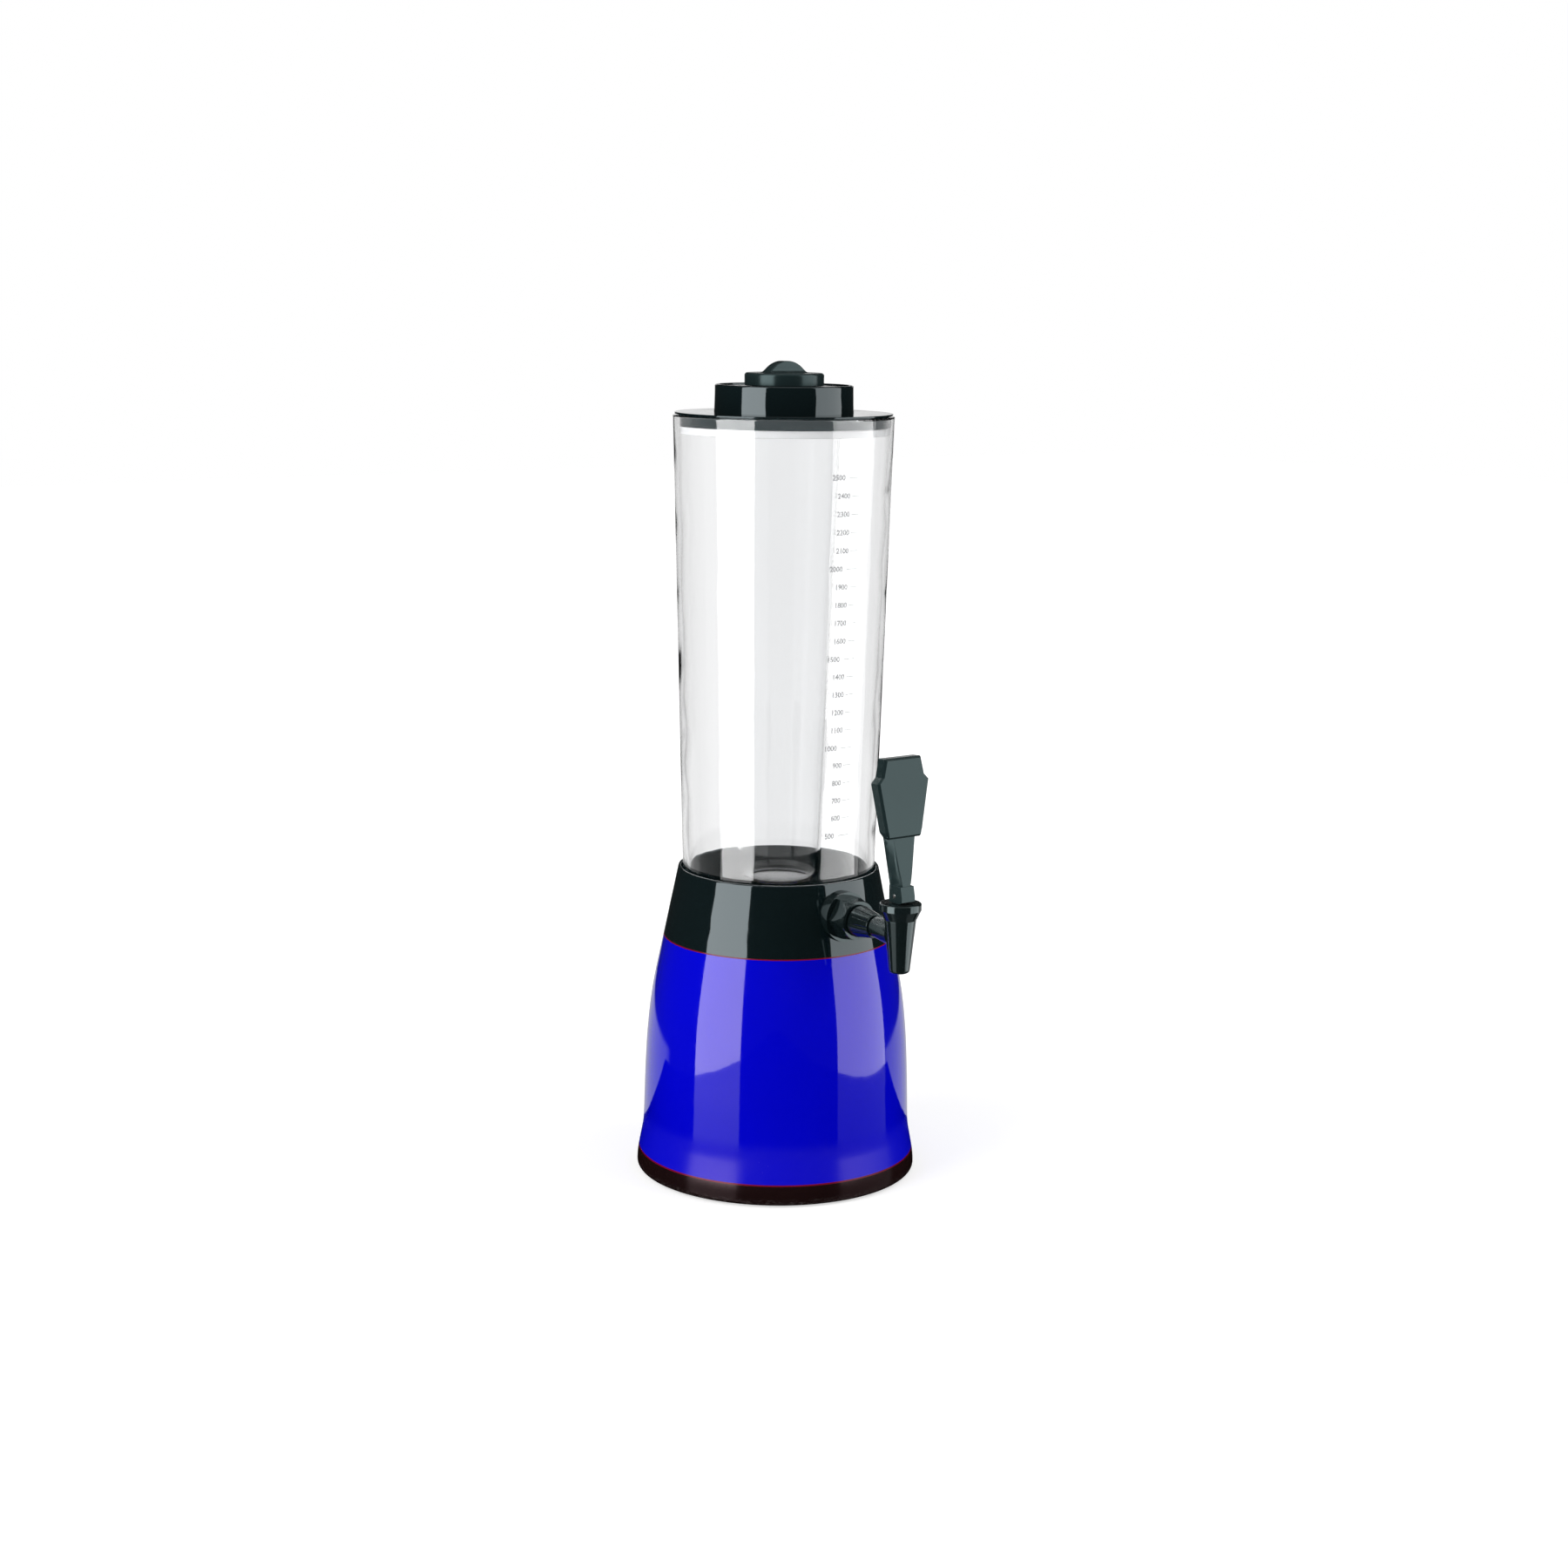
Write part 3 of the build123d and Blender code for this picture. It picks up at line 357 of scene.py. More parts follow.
def moulded(
    name, colour, drift, roughness, smudge=0.04, hairlines=0.05, peel=1.5e-6, grain=0.0,
    dusty=0.06, coat=0.0, coat_roughness=0.03, scuffed=0.0, parting=0.0,
    shine=0.5, shine_tint=(1.0, 1.0, 1.0), dull_below=0.0,
):
    """Opaque moulded plastic; heights are in metres. Below the height dull_below the gloss is
    worn down, as it is where hands and cloths reach."""
    material, tree, shader = start(name)
    surface = use(
        tree, skin, Colour=(*colour, 1.0), Drift_Colour=(*drift, 1.0), Roughness=roughness,
        Smudge=smudge, Hairlines=hairlines, Peel_Height=peel, Grain_Height=grain,
    )
    shown = use(
        tree, dust, Colour=surface.outputs["Colour"], Roughness=surface.outputs["Roughness"],
        Amount=dusty,
    )
    if scuffed:
        shown = use(
            tree, scuff, Colour=shown.outputs["Colour"], Roughness=shown.outputs["Roughness"],
            Amount=scuffed,
        )
    gloss_rough, gloss_coat = shown.outputs["Roughness"], coat
    if dull_below:
        above = put(tree, "ShaderNodeTexCoord").outputs["Object"]
        above = put(tree, "ShaderNodeSeparateXYZ", Vector=above).outputs["Z"]
        worn = ramp(tree, above, dull_below - WORN_FADE, dull_below, low_out=1.0, high_out=0.0)
        gloss_rough = math_node(tree, "MULTIPLY_ADD", worn, WORN_ROUGHNESS, clamp=True)
        plug(tree, gloss_rough.node.inputs[2], shown.outputs["Roughness"])
        gloss_coat = math_node(tree, "MULTIPLY", math_node(tree, "SUBTRACT", 1.0, worn), coat)
    height = surface.outputs["Height"]
    if parting:
        height = use(tree, seam, Height=height, Line_Height=parting).outputs["Height"]
    plug(tree, shader.inputs["Base Color"], shown.outputs["Colour"])
    plug(tree, shader.inputs["Roughness"], gloss_rough)
    bump = put(tree, "ShaderNodeBump", Height=height, Distance=1.0, Strength=1.0)
    plug(tree, shader.inputs["Normal"], bump.outputs["Normal"])
    shader.inputs["IOR"].default_value = PLASTIC_IOR
    shader.inputs["Specular IOR Level"].default_value = shine
    shader.inputs["Specular Tint"].default_value = (*shine_tint, 1.0)
    plug(tree, shader.inputs["Coat Weight"], gloss_coat)
    shader.inputs["Coat Roughness"].default_value = coat_roughness
    return material


# %% [markdown]
# ### Opaque plastics
# The collar and the lid are polished black with a faintly green cast, so they mirror the
# studio lights as sharp grey strips. The cap and the lever are satin: the same lights come back
# soft and turn a whole face grey. The tap's pieces lie between the two. The shell is a deep
# blue under high gloss, and its foot is brown-black.

# %% Opaque plastics
gloss_black = moulded(
    "gloss_black_plastic", (0.0035, 0.0082, 0.0090), (0.0045, 0.0095, 0.0105), 0.05,
    shine=1.0, shine_tint=(0.84, 0.96, 1.0), dusty=0.05, smudge=0.03,
)
satin_black = moulded(
    "satin_black_plastic", (0.011, 0.021, 0.022), (0.014, 0.026, 0.027), 0.21,
    smudge=0.06, hairlines=0.03, peel=2.0e-6, grain=1.2e-6, dusty=0.05, shine=0.60,
    shine_tint=(0.72, 0.98, 1.0),
)
tap_black = moulded(
    "tap_black_plastic", (0.0050, 0.0095, 0.0100), (0.0070, 0.0120, 0.0125), 0.085,
    smudge=0.05, dusty=0.05, parting=3.0e-5, shine=1.0, shine_tint=(0.80, 0.98, 1.0),
)
matt_black = moulded(
    "matt_black_plastic", (0.012, 0.012, 0.012), (0.017, 0.017, 0.016), 0.62,
    peel=4.0e-6, grain=4.0e-6, dusty=0.12,
)
blue_gloss = moulded(
    "blue_gloss_plastic", (0.0005, 0.0010, 0.60), (0.0006, 0.0013, 0.64), 0.06,
    coat=0.80, dusty=0.0, smudge=0.03, shine_tint=(1.0, 0.75, 0.85), dull_below=0.042,
)
foot_brown = moulded(
    "foot_brown_plastic", (0.010, 0.0040, 0.0040), (0.013, 0.0050, 0.0050), 0.14,
    shine=0.8, shine_tint=(1.0, 0.70, 0.75), scuffed=0.4, dusty=0.04,
)
trim_red = moulded(
    "trim_red_plastic", (0.20, 0.002, 0.022), (0.16, 0.002, 0.018), 0.20, dusty=0.0,
)
black_rubber = moulded(
    "black_rubber", (0.011, 0.011, 0.011), (0.019, 0.018, 0.018), 0.72,
    smudge=0.12, peel=6.0e-6, grain=7.0e-6, dusty=0.2,
)
print("opaque plastics made:", sum("plastic" in m.name for m in bpy.data.materials))

# %% [markdown]
# ### Clear plastic
# The tube and the ice tube are clear plastic with a real wall, so light bends at the outer and
# the inner face by itself. Drawn and moulded tubes show faint upright streaks, which come from
# a noise that is stretched along the tube, and a few smudges break the gloss. Metallic and
# transmission stay plain numbers, as glass needs.


# %% Clear plastic
def clear(name, tint, streak_height):
    """Clear plastic with faint upright streaks of the given height in metres."""
    material, tree, shader = start(name)
    place = put(tree, "ShaderNodeTexCoord").outputs["Object"]
    upright = put(tree, "ShaderNodeMapping", Vector=place, Scale=(1.0, 1.0, 0.03)).outputs[0]
    streaks = math_node(tree, "MULTIPLY", noise(tree, upright, scale=120.0), streak_height)
    surface = use(
        tree, skin, Colour=(*tint, 1.0), Drift_Colour=(*(0.995 * t for t in tint), 1.0),
        Roughness=0.015, Smudge=0.03, Hairlines=0.04, Peel_Height=0.0, Grain_Height=0.0,
    )
    bump = put(tree, "ShaderNodeBump", Height=streaks, Distance=1.0, Strength=1.0)
    plug(tree, shader.inputs["Base Color"], surface.outputs["Colour"])
    plug(tree, shader.inputs["Roughness"], surface.outputs["Roughness"])
    plug(tree, shader.inputs["Normal"], bump.outputs["Normal"])
    shader.inputs["IOR"].default_value = CLEAR_IOR
    shader.inputs["Transmission Weight"].default_value = 1.0
    return material


clear_tube = clear("clear_tube_plastic", (0.992, 0.994, 0.997), 4.0e-6)
clear_ice = clear("clear_ice_plastic", (0.990, 0.993, 0.996), 3.0e-6)
print("clear plastics:", clear_tube.name, "and", clear_ice.name)

# %% [markdown]
# ### Silicone, steel and ink
# The lid's gasket is milky silicone that lets some light through. Pin, spring and screws are
# drawn steel: a metal whose roughness changes in fine lines. The scale is a thin grey ink that
# lets some of the light behind it through, so it looks fainter than solid paint.


# %% Silicone, steel and ink
LINE_HEIGHT = 1.0e-6


def milky_silicone():
    """Soft translucent silicone."""
    material, tree, shader = start("milky_silicone")
    surface = use(
        tree, skin, Colour=(0.90, 0.91, 0.92, 1.0), Drift_Colour=(0.86, 0.87, 0.88, 1.0),
        Roughness=0.42, Smudge=0.1, Hairlines=0.0, Peel_Height=4.0e-6, Grain_Height=1.0e-6,
    )
    plug(tree, shader.inputs["Base Color"], surface.outputs["Colour"])
    plug(tree, shader.inputs["Roughness"], surface.outputs["Roughness"])
    bump = put(tree, "ShaderNodeBump", Height=surface.outputs["Height"], Distance=1.0, Strength=1.0)
    plug(tree, shader.inputs["Normal"], bump.outputs["Normal"])
    shader.inputs["IOR"].default_value = SILICONE_IOR
    shader.inputs["Transmission Weight"].default_value = 0.30
    return material


def drawn_steel():
    """Stainless steel with fine drawing lines."""
    material, tree, shader = start("drawn_steel")
    place = put(tree, "ShaderNodeTexCoord").outputs["Object"]
    drawn = put(tree, "ShaderNodeMapping", Vector=place, Scale=(0.05, 1.0, 1.0)).outputs[0]
    lines = noise(tree, drawn, scale=6000.0)
    tone = mix_colour(tree, lines, (0.50, 0.50, 0.49, 1.0), (0.72, 0.72, 0.71, 1.0))
    plug(tree, shader.inputs["Base Color"], tone)
    gloss = ramp(tree, lines, low=0.2, high=0.8, low_out=0.14, high_out=0.30)
    plug(tree, shader.inputs["Roughness"], gloss)
    shader.inputs["Metallic"].default_value = 1.0
    height = math_node(tree, "MULTIPLY", lines, LINE_HEIGHT)
    bump = put(tree, "ShaderNodeBump", Height=height, Distance=1.0, Strength=1.0)
    plug(tree, shader.inputs["Normal"], bump.outputs["Normal"])
    return material


def scale_ink():
    """Thin grey printing ink, slightly uneven."""
    material, tree, shader = start("grey_scale_ink")
    place = put(tree, "ShaderNodeTexCoord").outputs["Object"]
    patchy = ramp(tree, noise(tree, place, scale=1500.0, detail=3.0), low=0.3, high=0.7)
    tone = mix_colour(tree, patchy, (0.26, 0.27, 0.28, 1.0), (0.36, 0.37, 0.38, 1.0))
    plug(tree, shader.inputs["Base Color"], tone)
    gloss = ramp(tree, patchy, low=0.0, high=1.0, low_out=0.45, high_out=0.6)
    plug(tree, shader.inputs["Roughness"], gloss)
    shader.inputs["Alpha"].default_value = 0.50
    return material


silicone, steel, ink = milky_silicone(), drawn_steel(), scale_ink()
print("small finishes:", silicone.name, steel.name, ink.name)

# %% [markdown]
# ## Dressing the pieces
# A piece of the frame keeps its mesh. Its finish goes into its own material slots. Clear
# plastic lets the lamps' light through, so the two tubes cast no shadow on what they hold.

# %% Dress the frame's pieces
FINISHES = {
    "base_pad": black_rubber,
    "base_plate": matt_black,
    "base_screws": steel,
    "foot_ring": foot_brown,
    "lower_trim_ring": trim_red,
    "base_shell": blue_gloss,
    "upper_trim_ring": trim_red,
    "collar": gloss_black,
    "tube_seat": matt_black,
    "tube_gasket": black_rubber,
    "tube": clear_tube,
    "lid": gloss_black,
    "lid_gasket": silicone,
    "ice_tube": clear_ice,
    "cap": satin_black,
    "cap_seal": black_rubber,
    "shank": tap_black,
    "saddle_washer": tap_black,
    "shank_spacer": matt_black,
    "outer_seal": black_rubber,
    "inner_seal": black_rubber,
    "lock_nut": tap_black,
    "coupling_nut": tap_black,
    "coupling_seal": black_rubber,
    "tap_body": tap_black,
    "bonnet": tap_black,
    "seat_cup": silicone,
    "valve_stem": tap_black,
    "valve_spring": steel,
    "handle": satin_black,
    "pivot_pin": steel,
}
for name, finish in FINISHES.items():
    if not nodes[name].material_slots:
        nodes[name].data.materials.append(finish)
    for material_slot in nodes[name].material_slots:
        material_slot.material = finish
for name in ("tube", "ice_tube"):
    nodes[name].visible_shadow = False
print("dressed", len(FINISHES), "of", len(nodes), "pieces")

# %% [markdown]
# ## Wider tube, thinner collar, broader lever
# On the real tower the tube's thick wall almost fills the collar, whose own wall is thin, and
# the tube's mouth stands up round the lid, so the lid's black band is seen through the clear
# wall. The lever's neck and paddle are broader too. A frame's mesh is never changed, so each of
# these pieces is a copy of it with its doubles merged, whose points are moved by a formula, and
# the copy stands for the node. All sizes are in metres.


# %% Reshape a copy of a node
MERGE_DISTANCE = 1.0e-6
SHARP_ANGLE = math.radians(25.0)
BROAD_FACES_FIRST = 100


def coordinates(mesh):
    """Vertices of a mesh as an array of rows x, y, z."""
    flat = np.empty(len(mesh.vertices) * 3)
    mesh.vertices.foreach_get("co", flat)
    return flat.reshape(-1, 3)


def reshaped(name, node, body, move, cuts=()):
    """Copy of a node whose points are moved by a function of the array of points. Cuts are
    planes (point, normal) along which its faces are split first. Its smooth shading follows
    the broad faces, so a thin rounding doesn't bend the light on the wall beside it."""
    mesh = nodes[node].data.copy()
    mesh.name = name
    solid = bmesh.new()
    solid.from_mesh(mesh)
    bmesh.ops.remove_doubles(solid, verts=solid.verts, dist=MERGE_DISTANCE)
    for point, normal in cuts:
        every = solid.verts[:] + solid.edges[:] + solid.faces[:]
        bmesh.ops.bisect_plane(solid, geom=every, plane_co=point, plane_no=normal)
    solid.to_mesh(mesh)
    solid.free()
    if "custom_normal" in mesh.attributes:
        mesh.attributes.remove(mesh.attributes["custom_normal"])
    mesh.vertices.foreach_set("co", move(coordinates(mesh)).ravel())
    mesh.update()
    mesh.shade_smooth()
    mesh.set_sharp_from_angle(angle=SHARP_ANGLE)
    piece = bpy.data.objects.new(name, mesh)
    scene.collection.objects.link(piece)
    even = piece.modifiers.new("even_normals", "WEIGHTED_NORMAL")
    even.keep_sharp = True
    even.weight = BROAD_FACES_FIRST
    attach(piece, body)
    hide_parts(node)
    return piece


def radius_of(points):
    """Distance of each point from the tower's axis."""
    return np.hypot(points[:, 0], points[:, 1])


def with_radius(points, radius, height=None):
    """The same points at new radii from the tower's axis and, if given, at new heights."""
    growth = radius / np.maximum(radius_of(points), MERGE_DISTANCE)
    height = points[:, 2] if height is None else height
    return np.stack([points[:, 0] * growth, points[:, 1] * growth, height], axis=1)


print("reshaped pieces merge points nearer than", MERGE_DISTANCE, "metres")

# %% [markdown]
# ### The tube
# A drawn tube tapers: its outside and its bore are two cones, and the wall between them grows
# thinner towards the mouth. Each point keeps its share of the wall's thickness, so roundings
# and the shank's hole come along by themselves, and only the part above the hole is stretched.

# %% Wide tube
FRAME_WALL = 0.0030
TUBE_FOOT_R, TUBE_MOUTH_R = 0.0597, 0.0687
TUBE_FOOT_WALL, TUBE_MOUTH_WALL = 0.0048, 0.0032
TUBE_FOOT_Z, TUBE_MOUTH_Z = 0.1500, 0.4817
HOLE_TOP_Z = 0.200
END_DEPTH = 0.004


def cone_line(points):
    """Straight line (foot height, foot radius, slope) through the widest points of the lowest
    and the highest few millimetres of a turned piece."""
    radii = radius_of(points)
    low = np.argmax(np.where(points[:, 2] < points[:, 2].min() + END_DEPTH, radii, 0.0))
    high = np.argmax(np.where(points[:, 2] > points[:, 2].max() - END_DEPTH, radii, 0.0))
    slope = (radii[high] - radii[low]) / (points[high, 2] - points[low, 2])
    return points[low, 2], radii[low], slope


frame_points = coordinates(nodes["tube"].data)
frame_mouth_z = frame_points[:, 2].max()
frame_cone = cone_line(frame_points)


def outer_r(z):
    """Outer radius of the wide tube: a straight line from foot to mouth."""
    return np.interp(z, [TUBE_FOOT_Z, TUBE_MOUTH_Z], [TUBE_FOOT_R, TUBE_MOUTH_R])


def bore_r(z):
    """Inner radius of the wide tube: its wall is thickest at the foot."""
    walls = [TUBE_FOOT_R - TUBE_FOOT_WALL, TUBE_MOUTH_R - TUBE_MOUTH_WALL]
    return np.interp(z, [TUBE_FOOT_Z, TUBE_MOUTH_Z], walls)


def widen_tube(points):
    """Keeps a point's share t of the wall: radius = bore + t (outer - bore), and scales the
    floor inside the bore evenly. Heights above the shank's hole stretch to the new mouth."""
    foot_z, foot_r, slope = frame_cone
    old_outer = foot_r + slope * (points[:, 2] - foot_z)
    old_bore = old_outer - FRAME_WALL
    height = np.interp(points[:, 2], [TUBE_FOOT_Z, HOLE_TOP_Z, frame_mouth_z],
                       [TUBE_FOOT_Z, HOLE_TOP_Z, TUBE_MOUTH_Z])
    radii = radius_of(points)
    share = (radii - old_bore) / FRAME_WALL
    in_wall = bore_r(height) + share * (outer_r(height) - bore_r(height))
    in_bore = radii * bore_r(height) / old_bore
    return with_radius(points, np.where(share < 0.0, in_bore, in_wall), height)


wide_tube = reshaped("wide_tube", "tube", "base", widen_tube)
wide_tube.visible_shadow = False
print("wide tube has", len(wide_tube.data.polygons), "faces")

# %% [markdown]
# ### Lid, wiper seal and collar
# The lid plugs the tube: its band and skirt stand just inside the bore, and the soft seal round
# the skirt wipes the wall. All three pieces are turned, so new radii and heights are enough. The
# lid's come from a table. The seal stretches between the skirt and the bore. The collar keeps
# its outer cone, and only its depth under that cone shrinks, down to the ledge where its hidden
# skirt begins.

# %% Lid, wiper seal and collar
SKIRT_HEIGHTS, NEW_SKIRT_HEIGHTS = [0.4600, 0.4750], [0.4720, 0.4750]
SEAL_FOOT_Z = 0.4706
LID_RADII = [0.0, 0.0450, 0.0597, 0.0613, 0.0621, 0.0659, 0.0676]
NEW_LID_RADII = [0.0, 0.0450, 0.0614, 0.06335, 0.0634, 0.06505, 0.0676]
SEAL_BACK_R, NEW_SEAL_BACK_R, SEAL_PLAY = 0.0614, 0.06345, 0.0002
COLLAR_RIM_R, COLLAR_RIM_Z, COLLAR_SLOPE = 0.06383, 0.1980, 0.2055
COLLAR_WALL, THIN_COLLAR_WALL, COLLAR_LEDGE = 0.0039, 0.0023, 0.0058
LEDGE_Z = 0.1569


def tuck_lid(points):
    """Moves the lid's skirt out and its band in by a table of radii, and shortens the skirt."""
    radii = radius_of(points)
    height = np.where(
        (points[:, 2] < SKIRT_HEIGHTS[1]) & (radii > LID_RADII[1]),
        np.interp(points[:, 2], SKIRT_HEIGHTS, NEW_SKIRT_HEIGHTS), points[:, 2],
    )
    return with_radius(points, np.interp(radii, LID_RADII, NEW_LID_RADII), height)


def drop_seal(points):
    """Stretches the seal over the whole skirt, and out to the bore less a little play."""
    height = np.interp(points[:, 2], [points[:, 2].min(), points[:, 2].max()],
                       [SEAL_FOOT_Z, points[:, 2].max()])
    radii = radius_of(points)
    share = (radii - SEAL_BACK_R) / (radii.max() - SEAL_BACK_R)
    outside = bore_r(height) - SEAL_PLAY
    return with_radius(points, NEW_SEAL_BACK_R + share * (outside - NEW_SEAL_BACK_R), height)


def thin_collar(points):
    """Shrinks a point's depth under the collar's outer cone above the ledge of its skirt."""
    radii = radius_of(points)
    surface = COLLAR_RIM_R + COLLAR_SLOPE * (COLLAR_RIM_Z - points[:, 2])
    depth = np.interp(surface - radii, [0.0, COLLAR_WALL, COLLAR_LEDGE],
                      [0.0, THIN_COLLAR_WALL, COLLAR_LEDGE])
    return with_radius(points, np.where(points[:, 2] > LEDGE_Z, surface - depth, radii))


refitted = [
    reshaped("tucked_lid", "lid", "lid", tuck_lid),
    reshaped("wiper_seal", "lid_gasket", "lid", drop_seal),
    reshaped("thin_collar", "collar", "base", thin_collar),
]
print("reshaped", [piece.name for piece in refitted])

# %% [markdown]
# ### What is clamped to the tube's wall
# The shank passes through the collar and the tube. Its seals, its lock nut and the spacer sit
# on the faces of the tube's wall, so they slide along the shank by as much as those faces moved.

# %% Seals and nut of the shank, on the wider wall
SHANK_Z = 0.178
SPACER_ENDS, NEW_SPACER_ENDS = [0.0563, 0.0640], [0.0625, 0.0656]
frame_foot_z, frame_foot_r, frame_slope = frame_cone
frame_outer_r = frame_foot_r + frame_slope * (SHANK_Z - frame_foot_z)
outer_shift = outer_r(SHANK_Z) - frame_outer_r
bore_shift = bore_r(SHANK_Z) - (frame_outer_r - FRAME_WALL)


def slid(distance):
    """Function that slides points along the shank, away from the tower's axis."""
    return lambda points: points - (0.0, distance, 0.0)


def refit_spacer(points):
    """Moves the spacer's two ends onto the outer seal and the thin collar."""
    y = -np.interp(-points[:, 1], SPACER_ENDS, NEW_SPACER_ENDS)
    return np.stack([points[:, 0], y, points[:, 2]], axis=1)


reshaped("outer_seal_seated", "outer_seal", "base", slid(outer_shift))
reshaped("inner_seal_seated", "inner_seal", "base", slid(bore_shift))
reshaped("lock_nut_seated", "lock_nut", "base", slid(bore_shift))
reshaped("spacer_seated", "shank_spacer", "base", refit_spacer)
print("moved along the shank by", outer_shift, "and", bore_shift)

# %% [markdown]
# ### The valve spring
# The steel spring stands between the bonnet and the seat cup, which rises with the lever. It is
# copied as it is, into a piece with a mesh of its own.

# %% Valve spring
coil_spring = reshaped("coil_spring", "valve_spring", "base", lambda points: points)
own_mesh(coil_spring)

# %% [markdown]
# ### The lever
# The lever leans a little, so its points are first stood upright round the pivot pin. There its
# neck and paddle are plain outlines over the height, and each point's distance from the middle
# plane grows by the ratio of the new outline to the old. Two cuts across the paddle give the
# new outline its shoulders.

# %% Broad lever
PIVOT = Vector((0.0, -0.125, 0.2016))
LEAN = math.radians(3.6)
NECK_HEIGHTS = [0.0065, 0.0368]
FRAME_NECK_BACK, FRAME_NECK_FRONT = [0.0108, 0.0170], [0.0058, 0.0115]
BROAD_NECK_BACK, BROAD_NECK_FRONT = [0.0108, 0.0210], [0.0076, 0.0170]
NECK_BACK_Y, NECK_FRONT_Y = 0.0034, -0.0050
FRAME_PADDLE_Z = [0.0355, 0.0395, 0.0725, 0.0840]
FRAME_PADDLE_W = [0.0170, 0.0252, 0.0366, 0.0260]
BROAD_PADDLE_Z = [0.0355, 0.0395, 0.0694, 0.0729, 0.0840]
BROAD_PADDLE_W = [0.0210, 0.0276, 0.0388, 0.0320, 0.0270]
HUB_TOP_Z = 0.0070
STEP_INSET = 0.0001
upright = Matrix.Rotation(LEAN, 4, "X") @ Matrix.Translation(-PIVOT)
leaning = upright.inverted()


def transformed(points, matrix):
    """Points through a 4 by 4 matrix."""
    matrix = np.array(matrix)
    return points @ matrix[:3, :3].T + matrix[:3, 3]


def broaden(points):
    """Scales x by the ratio of the new outline's width to the old one's at the point's height.
    On the neck both widths run from the back face to the front face with y."""
    local = transformed(points, upright)
    y, z = local[:, 1], local[:, 2]
    front = np.clip((NECK_BACK_Y - y) / (NECK_BACK_Y - NECK_FRONT_Y), 0.0, 1.0)

    def neck(back_widths, front_widths):
        """Width of the neck at the point's height, between its back and front outlines."""
        at_back = np.interp(z, NECK_HEIGHTS, back_widths)
        return at_back * (1.0 - front) + np.interp(z, NECK_HEIGHTS, front_widths) * front

    on_neck = neck(BROAD_NECK_BACK, BROAD_NECK_FRONT) / neck(FRAME_NECK_BACK, FRAME_NECK_FRONT)
    on_paddle = np.interp(z, BROAD_PADDLE_Z, BROAD_PADDLE_W)
    on_paddle /= np.interp(z, FRAME_PADDLE_Z, FRAME_PADDLE_W)
    past_neck = np.abs(local[:, 0]) > FRAME_PADDLE_W[0] / 2 - STEP_INSET
    paddle = (z > FRAME_PADDLE_Z[1]) | ((z > FRAME_PADDLE_Z[0]) & past_neck)
    scale = np.where(paddle, on_paddle, on_neck)
    local[:, 0] *= np.where(z < HUB_TOP_Z, 1.0, scale)
    return transformed(local, leaning)


lever_up = leaning.to_3x3() @ Vector((0.0, 0.0, 1.0))
shoulders = BROAD_PADDLE_Z[2:4]
paddle_cuts = [(leaning @ Vector((0.0, 0.0, height)), lever_up) for height in shoulders]
broad_lever = reshaped("broad_lever", "handle", "lever", broaden, paddle_cuts)
print("broad lever has", len(broad_lever.data.polygons), "faces")

# %% [markdown]
# ## The printed scale
# The tube carries a plain scale in millilitres: a number and a dash every 100 ml, and every
# 500 ml the mark is moved a little to the left. Real ones are screen-printed on the outside.
# Text is easiest as a font curve, so each number is typed flat, made a mesh, and then the whole
# print is wrapped round the cone of the tube: the distance along the print becomes an angle,
# and the height stays a height. The dashes are grids of two parameters, wrapped the same way.

# %% Measure the tube's cone
foot_height, foot_radius, cone_slope = cone_line(coordinates(wide_tube.data))
print("tube's outer radius", foot_radius, "at", foot_height, "and it widens by", cone_slope)

# %% Flat print: numbers and dashes
TOP_MARK_HEIGHT = 0.4474
MARK_STEP = 0.0110
MARK_COUNT = 21
TOP_MARK_ML, MARK_ML, LONG_MARK_ML = 2500, 100, 500
TEXT_SIZE = 0.0045
TEXT_WEIGHT = 0.00012
NUMBER_END, LONG_NUMBER_END = 0.0010, -0.0030
DASH_START, LONG_DASH_START, DASH_END = 0.0022, -0.0002, 0.0085
DASH_THICK, DASH_COLUMNS = 0.00032, 8
CURVE_STEPS = 3


def number_mesh(text):
    """Flat mesh of a text, right-aligned at x 0 and centred on y 0: (vertices, faces)."""
    curve = bpy.data.curves.new("number", "FONT")
    curve.body = text
    curve.size = TEXT_SIZE
    curve.offset = TEXT_WEIGHT
    curve.align_x = "RIGHT"
    curve.align_y = "CENTER"
    curve.resolution_u = CURVE_STEPS
    holder = bpy.data.objects.new("number", curve)
    scene.collection.objects.link(holder)
    bpy.context.view_layer.update()
    flat_mesh = bpy.data.meshes.new_from_object(holder)
    flat = coordinates(flat_mesh)[:, :2]
    faces = [tuple(polygon.vertices) for polygon in flat_mesh.polygons]
    bpy.data.objects.remove(holder)
    bpy.data.meshes.remove(flat_mesh)
    return flat, faces


def dash_mesh(begin, end):
    """Flat strip on a grid: x runs from begin to end in columns, y over the dash's thickness."""
    columns = np.linspace(begin, end, DASH_COLUMNS + 1)
    x, y = np.meshgrid(columns, [-DASH_THICK / 2, DASH_THICK / 2])
    corner = np.arange(DASH_COLUMNS)
    above = corner + DASH_COLUMNS + 1
    faces = np.stack([corner, corner + 1, above + 1, above], axis=1)
    return np.stack([x.ravel(), y.ravel()], axis=1), [tuple(face) for face in faces.tolist()]


